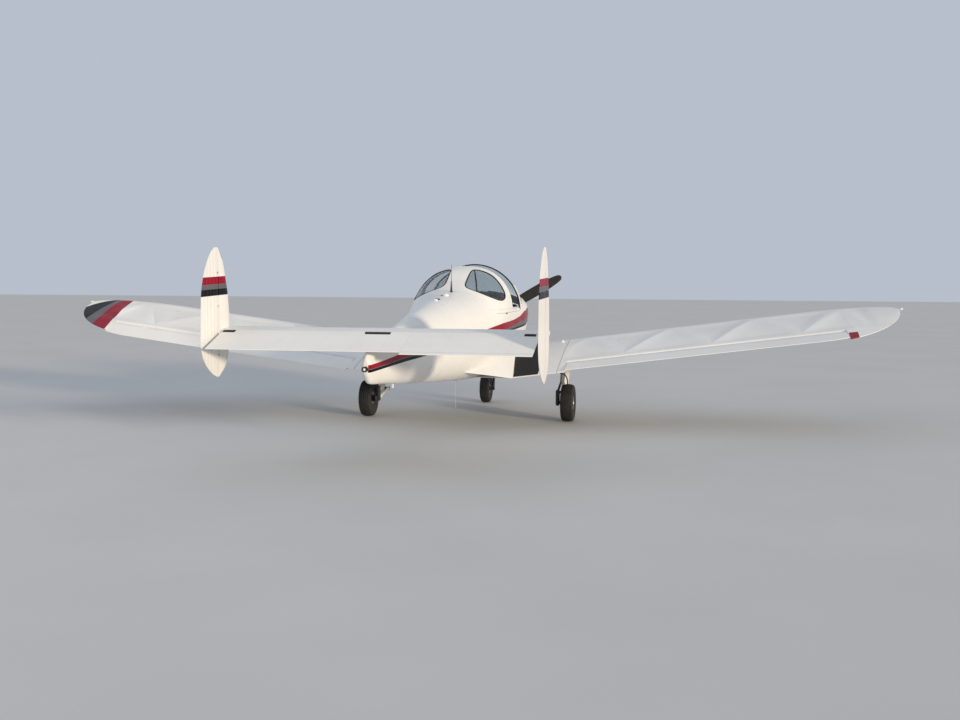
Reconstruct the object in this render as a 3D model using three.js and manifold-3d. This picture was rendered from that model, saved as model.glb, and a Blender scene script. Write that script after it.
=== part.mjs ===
// A two-seat low-wing light aircraft with twin fins and a nose wheel, in millimetres.
// X runs to the right wing tip, Y forward to the propeller and Z up from the ground.
// The numbers below measure Y from the main wheels' axle; the whole is then centred on its length.
import * as THREE from "three";
import { mergeVertices } from "three/addons/utils/BufferGeometryUtils.js";
import Module from "manifold-3d";

const wasm = await Module();
wasm.setup();

// Gaps
const seatGap = 0.3; // between two pieces that rest on each other
const runGap = 6; // between a moving piece and what it passes

// Wing
const chord = 1524;
const trailY = -694;
const trailZ = 524; // of the flat middle, between the two places where the dihedral starts
const incidence = THREE.MathUtils.degToRad(5.75);
const dihedral = THREE.MathUtils.degToRad(7.4);
const breakX = 620; // the dihedral starts here, at the end of the root fillets
const wingThickness = 0.127; // of the chord
const camberPoint = 0.2025;
const camberGain = 31.914;
const trailEdge = 6;
const jointX = 1083; // between the centre section and an outer panel
// Places along a wing are measured from the dihedral's start.
const tipStart = 3106;
const tipSpan = 880;
const tipY = 150;
const aileronIn = 555;
const aileronOut = 3380;
const aileronChord = 270;
const aileronTilt = THREE.MathUtils.degToRad(4.5); // right one up and left one down, as parked
const sparFront = 320;
const sparBack = 190;
const sparLow = 605;
const sparHigh = 720;
const filletFrontY = -330; // the fillets are highest here
const filletNoseY = 190; // and have run out into the wing here
const tieAlong = 1671; // the tie-down pad under each outer panel
const tieY = 250;
const tieHalf = 16;
const tieDrop = 22;
const tailTieY = -3108;
const tailTieZ = 640;

// Tail
const elevatorLeftX = -1292;
const elevatorRightX = 1312;
const elevatorStepX = 290; // right of here the elevator is deeper
const stabFrontY = -3150;
const tailHingeY = -3600;
const tailHingeZ = 1124;
const stabHalf = 30;
const elevatorChord = 385;
const elevatorDeepChord = 428;
const elevatorDroop = THREE.MathUtils.degToRad(18.3);
const finX = 1345;
const finHalf = 15;
const tailEdge = 5;

// Fuselage
const wall = 16;
const coneWall = 9;
const turtleWall = 12;
const hoopDepth = 34;
const glassWall = 6;
const bellySplitZ = 560;
const panelY = 600;
const railZ = 1228;
const rearFrameY = -825;
const hoopY = -100;
const screenY = 450;
const firewallY = 1150;
const bowlY = 1960;
const noseY = 2150;
const cowlSplitZ = 1010;

// Engine
const engineHalf = 280;
const engineBack = 1400;
const engineFront = 1900;
const engineLow = 870;
const engineHigh = 1230;
const shaftRadius = 30;

// Undercarriage
const trackHalf = 1125;
const mainTyreD = 408;
const mainTyreW = 138;
const noseWheelX = -86; // the wheel runs on the left of its one-sided fork
const noseWheelY = 1640;
const noseTyreD = 352;
const noseTyreW = 118;
const steerY = 1700;
const linkX = 1012;
const strutX = 1046;
const legY = 300;
const linkPivotZ = 285;
const stemTop = 700;
const stemRadius = 22;

// Propeller
const propZ = 1120;
const propY = 2215;
const propD = 1780;
const propAngle = THREE.MathUtils.degToRad(60);

// Shape helpers

// A closed geometry as a solid that can be joined and cut.
function solid(geometry) {
  const bare = geometry.index ? geometry.toNonIndexed() : geometry.clone();
  bare.deleteAttribute("normal");
  bare.deleteAttribute("uv");
  const merged = mergeVertices(bare, 1e-3);
  return new wasm.Manifold(
    new wasm.Mesh({
      numProp: 3,
      vertProperties: merged.attributes.position.array,
      triVerts: new Uint32Array(merged.index.array),
    }),
  );
}

function box(x0, x1, y0, y1, z0, z1) {
  const g = new THREE.BoxGeometry(x1 - x0, y1 - y0, z1 - z0);
  g.translate((x0 + x1) / 2, (y0 + y1) / 2, (z0 + z1) / 2);
  return solid(g);
}

// A round bar between two points.
function bar(from, to, radius, sides = 12, endRadius = radius) {
  const a = new THREE.Vector3(...from);
  const b = new THREE.Vector3(...to);
  const g = new THREE.CylinderGeometry(endRadius, radius, a.distanceTo(b), sides);
  const turn = new THREE.Quaternion().setFromUnitVectors(
    new THREE.Vector3(0, 1, 0),
    b.clone().sub(a).normalize(),
  );
  g.applyQuaternion(turn);
  g.translate(...a.add(b).multiplyScalar(0.5).toArray());
  return solid(g);
}

// A profile of [radius, height] points turned about a line along the given direction.
function turned(profile, centre, direction, sides) {
  const g = new THREE.LatheGeometry(
    profile.map(([r, h]) => new THREE.Vector2(r, h)),
    sides,
    Math.PI / sides,
  );
  const turn = new THREE.Quaternion().setFromUnitVectors(
    new THREE.Vector3(0, 1, 0),
    new THREE.Vector3(...direction),
  );
  g.applyQuaternion(turn);
  g.translate(...centre);
  const made = solid(g);
  return made.volume() < 0 ? turned([...profile].reverse(), centre, direction, sides) : made;
}

// A flat outline of [a, b] points pushed from c0 to c1; place turns (a, b, c) into a point.
function prism(outline, c0, c1, place) {
  return loft([c0, c1].map((c) => outline.map(([a, b]) => place(a, b, c))));
}

// A skin through rings of points, each ring with the same number, with flat ends.
function loft(rings) {
  const n = rings[0].length;
  const points = rings.flat();
  const faces = [];
  for (let i = 0; i + 1 < rings.length; i++) {
    for (let k = 0; k < n; k++) {
      const a = i * n + k;
      const b = i * n + ((k + 1) % n);
      faces.push([a, b, b + n], [a, b + n, a + n]);
    }
  }
  const last = (rings.length - 1) * n;
  for (const [a, b, c] of flatFaces(rings[0])) faces.push([c, b, a]);
  for (const [a, b, c] of flatFaces(rings[rings.length - 1])) {
    faces.push([a + last, b + last, c + last]);
  }
  let volume = 0;
  for (const f of faces) {
    const [a, b, c] = f.map((i) => new THREE.Vector3(...points[i]));
    volume += a.dot(b.cross(c));
  }
  if (volume < 0) faces.forEach((f) => f.reverse());
  const g = new THREE.BufferGeometry();
  g.setAttribute("position", new THREE.Float32BufferAttribute(points.flat(), 3));
  g.setIndex(faces.flat());
  return solid(g);
}

// Triangles that fill one ring, in the ring's own turning sense.
function flatFaces(ring) {
  const normal = new THREE.Vector3();
  ring.forEach((p, i) => {
    const q = ring[(i + 1) % ring.length];
    normal.x += (p[1] - q[1]) * (p[2] + q[2]);
    normal.y += (p[2] - q[2]) * (p[0] + q[0]);
    normal.z += (p[0] - q[0]) * (p[1] + q[1]);
  });
  const turn = new THREE.Quaternion().setFromUnitVectors(
    normal.normalize(),
    new THREE.Vector3(0, 0, 1),
  );
  const flat = ring.map((p) => {
    const v = new THREE.Vector3(...p).applyQuaternion(turn);
    return new THREE.Vector2(v.x, v.y);
  });
  return THREE.ShapeUtils.triangulateShape(flat, []);
}

function join(...solids) {
  return solids.reduce((all, one) => all.add(one));
}

function cut(body, ...tools) {
  return tools.reduce((left, tool) => left.subtract(tool), body);
}

// Fuselage sections

// Each row: y, half width, bottom, top, height of the widest line, roundness above and below it.
const cabinAndTail = [
  [-3900, 34, 795, 958, 862, 2.0, 2.0],
  [-3820, 48, 742, 1003, 868, 2.0, 2.1],
  [-3500, 95, 712, 1082, 880, 1.9, 2.3],
  [-2800, 198, 647, 1165, 905, 1.85, 2.4],
  [-2080, 282, 590, 1265, 945, 1.85, 2.5],
  [-1400, 382, 541, 1350, 990, 1.95, 2.6],
  [-825, 468, 502, 1425, 1055, 2.05, 2.6],
  [-580, 508, 487, 1512, 1095, 2.2, 2.6],
  [-300, 527, 474, 1640, 1130, 2.3, 2.6],
  [-100, 529, 465, 1680, 1150, 2.35, 2.6],
];
const cockpitAndCowl = [
  [-100, 529, 465, 1262, 1150, 3.6, 2.6],
  [250, 533, 460, 1266, 1150, 3.6, 2.6],
  [600, 530, 462, 1290, 1145, 3.4, 2.6],
  [850, 520, 475, 1362, 1140, 3.0, 2.5],
  [1150, 488, 510, 1397, 1138, 2.62, 2.4],
  [1500, 445, 567, 1391, 1132, 2.45, 2.3],
  [1850, 399, 650, 1375, 1124, 2.28, 2.2],
  [2060, 345, 765, 1345, 1120, 2.2, 2.1],
  [2150, 268, 880, 1312, 1118, 2.1, 2.1],
];
const canopyFront = [
  [400, 520, 900, 1701, 1200, 1.95, 2],
  [450, 520, 900, 1702, 1200, 1.95, 2],
  [600, 512, 900, 1664, 1200, 2.0, 2],
  [780, 496, 900, 1570, 1200, 2.1, 2],
  [930, 470, 900, 1460, 1200, 2.2, 2],
  [1060, 420, 900, 1330, 1180, 2.2, 2],
];
const ringPoints = 28;

function bodyRing([y, half, low, high, wide, powerUp, powerDown], grow) {
  const ring = [];
  for (let k = 0; k < ringPoints; k++) {
    const angle = (2 * Math.PI * k) / ringPoints;
    const c = Math.cos(angle);
    const s = Math.sin(angle);
    const power = 2 / (s > 0 ? powerUp : powerDown);
    const reach = s > 0 ? high + grow - wide : wide - low + grow;
    ring.push([
      (half + grow) * Math.sign(c) * Math.abs(c) ** power,
      y,
      wide + reach * Math.sign(s) * Math.abs(s) ** power,
    ]);
  }
  return ring;
}

// A body through the table's rows, its surface moved out by grow, and its ends by ends.
function bodyOf(rows, grow = 0, ends = 0) {
  const moved = rows.map((row) => [...row]);
  moved[0][0] -= ends;
  moved[moved.length - 1][0] += ends;
  return loft(moved.map((row) => bodyRing(row, grow)));
}

// A skin of even thickness under the table's surface, open at both ends.
function skinOf(rows, thickness, outside = 0) {
  return cut(bodyOf(rows, -outside), bodyOf(rows, -outside - thickness, 1));
}

const far = 6000;
const rearOfY = (y) => box(-far, far, -far, y, -far, far);
const aheadOfY = (y) => box(-far, far, y, far, -far, far);
const aboveZ = (z) => box(-far, far, -far, far, z, far);
const belowZ = (z) => box(-far, far, -far, far, -far, z);
const sideOfX = (side, x = 0) =>
  side > 0 ? box(x, far, -far, far, -far, far) : box(-far, -x, -far, far, -far, far);

const group = new THREE.Group();
group.name = "aircraft";

const paint = { white: 0xf4f1ea, black: 0x16171a, rubber: 0x1b1b1c, metal: 0xb9bcc0, red: 0x8e1f2b };

// Adds one named piece to the aircraft.
function piece(name, body, color, roughness = 0.35, metalness = 0) {
  const mesh = body.getMesh();
  const g = new THREE.BufferGeometry();
  g.setAttribute("position", new THREE.Float32BufferAttribute(mesh.vertProperties, 3));
  g.setIndex([...mesh.triVerts]);
  g.computeVertexNormals();
  const made = new THREE.Mesh(
    g,
    new THREE.MeshStandardMaterial({ color, roughness, metalness, flatShading: true }),
  );
  made.name = name;
  group.add(made);
}

const sides = [
  ["left", -1],
  ["right", 1],
];

// Wing

function camber(c) {
  const m = camberPoint;
  const tail = (camberGain * m ** 3) / 6;
  if (c > m) return tail * (1 - c);
  return (camberGain / 6) * (c ** 3 - 3 * m * c ** 2 + m ** 2 * (3 - m) * c);
}

function halfDepth(c) {
  const roots = 0.2969 * Math.sqrt(c) - 0.126 * c - 0.3516 * c ** 2;
  return 5 * wingThickness * (roots + 0.2843 * c ** 3 - 0.1036 * c ** 4);
}

const leadY = trailY + chord * Math.cos(incidence);
const chordZ = (y) => trailZ + (y - trailY) * Math.tan(incidence);
const yAt = (c) => leadY + c * (trailY - leadY);
const upperZ = (y) => {
  const c = (leadY - y) / (leadY - trailY);
  return chordZ(y) + chord * (camber(c) + halfDepth(c)) + (trailEdge / 2) * c;
};
const lowerZ = (y) => {
  const c = (leadY - y) / (leadY - trailY);
  return chordZ(y) + chord * (camber(c) - halfDepth(c)) - (trailEdge / 2) * c;
};

// Fractions of the chord where the wing's outline has a point, above and below.
const wingCuts = [0.012, 0.045, 0.11, 0.2, 0.31, 0.45, 0.6, 0.8, 1];
const wingOutline = [
  [yAt(0), chordZ(yAt(0))],
  ...wingCuts.map((c) => [yAt(c), upperZ(yAt(c))]),
  ...[...wingCuts].reverse().map((c) => [yAt(c), lowerZ(yAt(c))]),
];

// A point of a wing: along it from the dihedral's start, at y, and at height z of the flat middle.
function panelPoint(side, along, y, z) {
  const lift = z - trailZ;
  const x = breakX + along * Math.cos(dihedral) - lift * Math.sin(dihedral);
  return [side * x, y, trailZ + along * Math.sin(dihedral) + lift * Math.cos(dihedral)];
}

// The wing's outline on an upright plane across it.
function uprightRing(side, x) {
  return wingOutline.map(([y, z]) => {
    const along = (x - breakX + (z - trailZ) * Math.sin(dihedral)) / Math.cos(dihedral);
    return panelPoint(side, along, y, z);
  });
}

const tipTop = upperZ(tipY);

// A ring in the rounded tip, where share runs from 0 at its start to 1 at its end.
// The function place turns (along, y, z) into a point.
function tipRing(place, share) {
  const size = Math.max(Math.sqrt(1 - share ** 2), 0.07);
  return wingOutline.map(([y, z]) =>
    place(tipStart + tipSpan * share, tipY + (y - tipY) * size, tipTop + (z - tipTop) * size),
  );
}

const tipShares = [0, 0.3, 0.52, 0.7, 0.84, 0.94, 1];
const hingeY = trailY + aileronChord;
const hingeZ = (upperZ(hingeY) + lowerZ(hingeY)) / 2;
const aileronNose = (upperZ(hingeY) - lowerZ(hingeY)) / 2;

// The outline of a control surface: a round nose on its hinge and straight sides to a thin edge.
function flapOutline(hinge, nose, edge, edgeUp, edgeDown) {
  const [hy, hz] = hinge;
  const outline = [];
  for (let k = 0; k <= 6; k++) {
    const angle = -Math.PI / 2 + (Math.PI * k) / 6;
    outline.push([hy + nose * Math.cos(angle), hz + nose * Math.sin(angle)]);
  }
  outline.push([edge, edgeUp], [edge, edgeDown]);
  return outline;
}

const aileronOutline = flapOutline(
  [hingeY, hingeZ],
  aileronNose,
  trailY,
  trailZ + trailEdge / 2,
  trailZ - trailEdge / 2,
);
const aileronHinges = [771, 1851, 3011];
const hingePin = 5;

// A bracket from the fixed surface to the hinge line, and the slot and pin that meet it.
// It stands at one place along the surface; place turns (along, y, z) into a point.
function hingeAt(place, along, hy, hz, nose, forward, slotHalf = 9) {
  const slab = (half, front, back, tall) =>
    prism(
      [
        [hy + front, hz - tall],
        [hy + front, hz + tall],
        [hy - back, hz + tall],
        [hy - back, hz - tall],
      ],
      along - half,
      along + half,
      (y, z, a) => place(a, y, z),
    );
  const rod = (radius, half) => bar(place(along - half, hy, hz), place(along + half, hy, hz), radius, 10);
  return {
    bracket: cut(slab(3, forward, 10, 9), rod(hingePin + 0.5, 5)),
    slot: slab(slotHalf, nose + 30, 16, nose + 30),
    pin: rod(hingePin, slotHalf + 0.5),
  };
}

const spar = (grow) =>
  box(-620 - grow, 620 + grow, sparBack - grow, sparFront + grow, sparLow - grow, sparHigh + grow);
const hullSpace = join(bodyOf(cabinAndTail, seatGap, 0), bodyOf(cockpitAndCowl, seatGap, 0));
// The wing between two upright planes at endX, moved down by drop.
const middleWing = (endX, drop) =>
  loft(
    [
      [-1, endX],
      [-1, breakX],
      [1, breakX],
      [1, endX],
    ].map(([side, x]) => uprightRing(side, x).map(([px, y, z]) => [px, y, z - drop])),
  );

// Root fillet sections: x, y and z of the rear edge, height where they are highest.
const filletRows = [
  [230, -1590, 658, 850],
  [360, -1300, 615, 800],
  [490, -1012, 571, 740],
  [breakX, trailY - 22, trailZ, upperZ(filletFrontY) - 4],
];
const filletOf = (side) =>
  loft(
    filletRows.map(([x, backY, backZ, topZ]) => [
      [side * x, backY, backZ - trailEdge / 2],
      [side * x, filletFrontY, lowerZ(filletFrontY) + 3],
      [side * x, filletNoseY, lowerZ(filletNoseY) + 3],
      [side * x, filletNoseY, upperZ(filletNoseY) - 4],
      [side * x, filletFrontY, topZ],
      [side * x, backY, backZ + trailEdge / 2],
    ]),
  );
piece(
  "wing_centre_section",
  join(cut(join(middleWing(jointX, 0), filletOf(-1), filletOf(1)), hullSpace), spar(0)),
  paint.white,
);

for (const [name, side] of sides) {
  const place = (along, y, z) => panelPoint(side, along, y, z);
  const whole = loft([
    uprightRing(side, jointX + seatGap),
    ...tipShares.map((share) => tipRing(place, share)),
  ]);
  const coveFront = hingeY + aileronNose + runGap;
  const cove = prism(
    [
      [coveFront, trailZ - 200],
      [coveFront, trailZ + 400],
      [trailY - 100, trailZ + 400],
      [trailY - 100, trailZ - 200],
    ],
    aileronIn - runGap,
    aileronOut + runGap,
    (y, z, along) => place(along, y, z),
  );
  const hinges = aileronHinges.map((along) =>
    hingeAt(place, along, hingeY, hingeZ, aileronNose, aileronNose + runGap + 20),
  );
  const [padX, , padZ] = place(tieAlong, tieY, lowerZ(tieY));
  const pad = box(padX - tieHalf, padX + tieHalf, tieY - tieHalf, tieY + tieHalf, padZ - tieDrop, padZ + 20);
  piece(
    "wing_outer_" + name,
    join(cut(whole, cove), pad, ...hinges.map((h) => h.bracket)),
    paint.white,
  );
  const tilt = side * aileronTilt;
  const tilted = (along, y, z) => {
    const back = y - hingeY;
    const up = z - hingeZ;
    return place(
      along,
      hingeY + back * Math.cos(tilt) + up * Math.sin(tilt),
      hingeZ + up * Math.cos(tilt) - back * Math.sin(tilt),
    );
  };
  const flap = prism(aileronOutline, aileronIn, aileronOut, (y, z, along) => tilted(along, y, z));
  const skin = loft([
    wingOutline.map(([y, z]) => tilted(0, y, z)),
    ...tipShares.map((share) => tipRing(tilted, share)),
  ]);
  piece(
    "aileron_" + name,
    join(cut(flap, ...hinges.map((h) => h.slot)).intersect(skin), ...hinges.map((h) => h.pin)),
    paint.white,
  );
  const lampBase = tipStart + tipSpan + seatGap;
  const [lampRoot, lampTip, lampEnd] = [0, 18, 42].map((out) => place(lampBase + out, tipY, tipTop - 4));
  piece(
    "tip_light_" + name,
    join(bar(lampRoot, lampTip, 5, 8), bar(lampTip, lampEnd, 14, 10, 7)),
    paint.white,
  );
}

// Tail

// Fin and rudder sections: height, and y of the front and back edges.
const finRows = [
  [751, -3578, -3622],
  [775, -3534, -3690],
  [815, -3466, -3765],
  [875, -3411, -3845],
  [950, -3381, -3897],
  [1060, -3363, -3920],
  [1230, -3363, -3912],
  [1400, -3383, -3903],
  [1560, -3433, -3858],
  [1700, -3485, -3772],
  [1775, -3546, -3695],
  [1805, -3578, -3640],
];
const finDepth = Math.max(...finRows.map(([, front, back]) => front - back));
const finThick = (front, back) => finHalf * (0.3 + (0.7 * (front - back)) / finDepth);

// The fixed surface's outline from its round front edge back to the hinge gap.
function fixedOutline(front, back, half, backHalf = 0.8 * half) {
  const length = front - back;
  const up = [
    [front - 0.06 * length, 0.5 * half],
    [front - 0.2 * length, 0.8 * half],
    [front - 0.45 * length, half],
    [back, backHalf],
  ];
  return [[front, 0], ...up, ...[...up].reverse().map(([y, h]) => [y, -h])];
}

const tailNose = 12;
const finHinges = [930, 1330, 1600];

function finBody(side, grow) {
  return loft(
    finRows.map(([z, front, back]) => {
      const half = finThick(front, back);
      return fixedOutline(front + grow, tailHingeY + half * 0.8 + runGap, half + grow).map(([y, h]) => [
        side * finX + h,
        y,
        z,
      ]);
    }),
  );
}

for (const [name, side] of sides) {
  const place = (along, y, h) => [side * finX + h, y, along];
  const hinges = finHinges.map((z) =>
    hingeAt(place, z, tailHingeY, 0, finHalf * 0.8, finHalf * 0.8 + runGap + 12),
  );
  piece("fin_" + name, join(finBody(side, 0), ...hinges.map((h) => h.bracket)), paint.white);
  const rudder = loft(
    finRows.map(([z, front, back]) => {
      const nose = finThick(front, back) * 0.8;
      return flapOutline([tailHingeY, 0], nose, back, tailEdge / 2, -tailEdge / 2).map(([y, h]) => [
        side * finX + h,
        y,
        z,
      ]);
    }),
  );
  piece(
    "rudder_" + name,
    join(cut(rudder, ...hinges.map((h) => h.slot)), ...hinges.map((h) => h.pin)),
    paint.white,
  );
}

const stabilizerOf = (grow) =>
  prism(
    fixedOutline(
      stabFrontY + grow,
      tailHingeY + tailNose + runGap - grow,
      stabHalf + grow,
      tailNose + grow,
    ),
    -finX + 1,
    finX - 1,
    (y, h, x) => [x, y, tailHingeZ + h],
  );
const tailPlace = (along, y, z) => [along, y, z];
// Hinges along the elevator: middle of each, and half the length of its slot.
const tailHinges = [
  [-1236, 56],
  [16, 108],
  [1240, 47],
].map(([x, slotHalf]) =>
  hingeAt(tailPlace, x, tailHingeY, tailHingeZ, tailNose, tailNose + runGap + 12, slotHalf),
);
piece(
  "stabilizer",
  join(
    cut(stabilizerOf(0), finBody(-1, seatGap), finBody(1, seatGap)),
    ...tailHinges.map((h) => h.bracket),
  ),
  paint.white,
);

// The elevator's outline for one depth, hanging down as parked.
const droopedOutline = (depth) =>
  flapOutline([0, 0], tailNose, -depth, tailEdge / 2, -tailEdge / 2).map(([y, h]) => [
    tailHingeY + y * Math.cos(elevatorDroop) + h * Math.sin(elevatorDroop),
    tailHingeZ + y * Math.sin(elevatorDroop) + h * Math.cos(elevatorDroop),
  ]);
const elevatorPart = (depth, x0, x1) => prism(droopedOutline(depth), x0, x1, (y, z, x) => [x, y, z]);
piece(
  "elevator",
  join(
    cut(
      join(
        elevatorPart(elevatorChord, elevatorLeftX, elevatorStepX + 1),
        elevatorPart(elevatorDeepChord, elevatorStepX, elevatorRightX),
      ),
      ...tailHinges.map((h) => h.slot),
    ),
    ...tailHinges.map((h) => h.pin),
  ),
  paint.white,
);

// Fuselage

const coneRows = cabinAndTail.filter(([y]) => y <= rearFrameY);
const aftRows = cabinAndTail.filter(([y]) => y >= rearFrameY);
const foreRows = cockpitAndCowl.filter(([y]) => y <= firewallY);
const cowlRows = cockpitAndCowl.filter(([y]) => y >= firewallY);
const lightHole = bar([0, -3920, 862], [0, -3885, 862], 22, 12);
piece(
  "tail_cone",
  join(
    cut(
      bodyOf(coneRows),
      bodyOf(coneRows.slice(1), -coneWall, 1).subtract(rearOfY(coneRows[1][0] + 2)),
      stabilizerOf(seatGap),
      lightHole,
    ),
    box(-8, 8, tailTieY - 8, tailTieY + 8, tailTieZ, tailTieZ + 60),
  ),
  paint.white,
);
piece(
  "tail_light",
  bar([0, -3945, 862], [0, -3885 - seatGap, 862], 21.5, 12),
  paint.white,
);

// Everything inside the walls from the rear frame to the firewall.
const cabinRoom = (grow) => join(bodyOf(aftRows, -wall - grow, 1), bodyOf(foreRows, -wall - grow, 1));
const cabinSkin = cut(join(bodyOf(aftRows, 0, 0.5), bodyOf(foreRows, 0, 0.5)), cabinRoom(0));
const hull = cut(cabinSkin, rearOfY(rearFrameY + seatGap), aheadOfY(firewallY));
piece("cabin_belly", cut(hull, aboveZ(bellySplitZ)), paint.white);
const hullSides = cut(hull, belowZ(bellySplitZ + seatGap), aboveZ(railZ), spar(seatGap));
for (const [name, side] of sides) {
  piece("cabin_side_" + name, cut(hullSides, sideOfX(-side)), paint.white);
}
piece(
  "cowl_deck",
  cut(hull, belowZ(railZ + seatGap), rearOfY(panelY)),
  paint.white,
);
piece(
  "firewall",
  cabinRoom(seatGap).intersect(box(-far, far, firewallY - 18, firewallY - seatGap, -far, far)),
  paint.metal,
  0.5,
  0.6,
);

const windowInX = 101; // the windows end here, beside the spine
// Rear windows, as seen from the side: y and z of their corners.
const windowCorners = [
  [-298, 1373],
  [-281, 1471],
  [-239, 1549],
  [-214, 1611],
  [-228, 1660],
  [-313, 1649],
  [-580, 1542],
  [-690, 1486],
  [-733, 1430],
  [-686, 1366],
  [-554, 1315],
  [-402, 1322],
];
const windowMiddle = [-450, 1460];

function windowPrism(side, grow) {
  const moved = windowCorners.map(([y, z]) => {
    const away = Math.hypot(y - windowMiddle[0], z - windowMiddle[1]);
    const share = 1 + grow / away;
    return [
      windowMiddle[0] + (y - windowMiddle[0]) * share,
      windowMiddle[1] + (z - windowMiddle[1]) * share,
    ];
  });
  return prism(moved, side * (windowInX - grow), side * 700, (y, z, x) => [x, y, z]);
}

const hoop = cut(bodyOf(aftRows), bodyOf(aftRows, -hoopDepth, 1), rearOfY(hoopY - 28));
const deckSkin = join(skinOf(aftRows, turtleWall), hoop);
piece(
  "turtledeck",
  cut(
    deckSkin,
    belowZ(railZ + seatGap),
    rearOfY(rearFrameY + seatGap),
    aheadOfY(hoopY - seatGap),
    windowPrism(-1, 0),
    windowPrism(1, 0),
  ),
  paint.white,
);
for (const [name, side] of sides) {
  const pane = cut(bodyOf(aftRows, -3), bodyOf(aftRows, -8, 1)).intersect(windowPrism(side, -0.6));
  piece("rear_window_" + name, pane, 0x9fb0b8, 0.1);
}

const foreSolid = bodyOf(foreRows, seatGap, 1);
const frameFront = screenY + 14;
const frameBand = cut(
  bodyOf(canopyFront, 5),
  bodyOf(canopyFront, -20, 1),
  foreSolid,
  rearOfY(screenY - 14),
  aheadOfY(frameFront),
  belowZ(railZ - 60),
);
piece("windscreen_frame", frameBand, paint.black);
piece(
  "windscreen",
  cut(
    bodyOf(canopyFront),
    bodyOf(canopyFront, -glassWall, 0),
    foreSolid,
    rearOfY(frameFront + seatGap),
    belowZ(railZ - 60),
  ),
  0x9fb0b8,
  0.1,
);

// Engine bay

const bayRoom = bodyOf(cowlRows, -wall, 0).subtract(aheadOfY(noseY - wall));
const cowling = cut(bodyOf(cowlRows), bayRoom, rearOfY(firewallY + seatGap));
const gearHole = bar([0, steerY, 500], [0, steerY, 720], 62, 16);
const shaftHole = bar([0, 2100, propZ], [0, 2200, propZ], 64, 20);
const inlets = [-1, 1].map((s) =>
  bar([s * 150, 2100, propZ + 70], [s * 150, 2200, propZ + 70], 58, 16),
);
const cowlSheet = cut(cowling, rearOfY(firewallY + seatGap), aheadOfY(bowlY));
piece("cowling_upper", cut(cowlSheet, belowZ(cowlSplitZ + seatGap)), paint.white);
piece("cowling_lower", cut(cowlSheet, aboveZ(cowlSplitZ), gearHole), paint.white);
piece(
  "cowling_nose_bowl",
  cut(cowling, rearOfY(bowlY + seatGap), shaftHole, ...inlets),
  paint.white,
);

const mounts = [-1, 1].flatMap((s) =>
  [engineLow + 50, engineHigh - 50].map((z) =>
    bar([s * 230, engineBack + 10, z], [s * 230, firewallY + seatGap, z], 14, 8),
  ),
);
const shaft = bar([0, engineFront - 10, propZ], [0, propY + 20, propZ], shaftRadius, 16);
piece(
  "engine_block",
  join(
    box(-engineHalf, engineHalf, engineBack, engineFront, engineLow, engineHigh),
    ...mounts,
    shaft,
  ),
  paint.metal,
  0.5,
  0.8,
);

// Blade stations: radius, width, thickness and pitch in degrees.
const bladeStations = [
  [40, 96, 46, 45],
  [170, 118, 34, 40],
  [360, 146, 22, 29],
  [600, 140, 15, 21],
  [800, 104, 10, 16],
  [propD / 2 - 18, 66, 6, 14],
  [propD / 2, 26, 4, 14],
];

function bladeRings(turn, grow) {
  return bladeStations.map(([radius, width, thick, pitch]) => {
    const lean = THREE.MathUtils.degToRad(pitch);
    const ring = [
      [-0.5, 0],
      [-0.3, 0.36],
      [0, 0.5],
      [0.3, 0.36],
      [0.5, 0],
      [0.3, -0.3],
      [0, -0.4],
      [-0.3, -0.3],
    ];
    return ring.map(([a, b]) => {
      const wide = a * (width + 2 * grow);
      const deep = b * (thick + 2 * grow);
      const across = wide * Math.cos(lean) - deep * Math.sin(lean);
      const along = wide * Math.sin(lean) + deep * Math.cos(lean);
      return [
        radius * Math.sin(turn) + across * Math.cos(turn),
        propY - along,
        propZ + radius * Math.cos(turn) - across * Math.sin(turn),
      ];
    });
  });
}

const bladeTurns = [propAngle, propAngle + Math.PI];
const hubOf = (grow) =>
  bar([0, propY - 42 - grow, propZ], [0, propY + 32 + grow, propZ], 78 + grow, 12);
piece(
  "propeller",
  cut(
    join(hubOf(0), ...bladeTurns.map((turn) => loft(bladeRings(turn, 0)))),
    bar([0, propY - 60, propZ], [0, propY + 21, propZ], shaftRadius + 1, 16),
  ),
  paint.black,
  0.5,
);
const spinnerShape = turned(
  [
    [0, -50],
    [134, -50],
    [134, -20],
    [122, 30],
    [94, 78],
    [52, 118],
    [18, 134],
    [0, 136],
  ],
  [0, propY, propZ],
  [0, 1, 0],
  18,
);
piece(
  "spinner",
  cut(
    spinnerShape,
    hubOf(seatGap),
    bar([0, propY - 60, propZ], [0, propY + 10, propZ], 78 + seatGap, 12),
    ...bladeTurns.map((turn) => loft(bladeRings(turn, 3))),
  ),
  paint.white,
);

// Undercarriage

// Tyre sections as shares: of the way from the rim to the tread, and of half the width.
const tyreShares = [
  [0, 0.7],
  [0.22, 0.9],
  [0.5, 1],
  [0.76, 0.95],
  [0.93, 0.68],
  [1, 0.3],
];

const wheelSides = 24;
const rimSides = 14;
// The tread's flats stand on the ground, so an axle is this high.
const axleHeight = (diameter) => (diameter / 2) * Math.cos(Math.PI / wheelSides);

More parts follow.
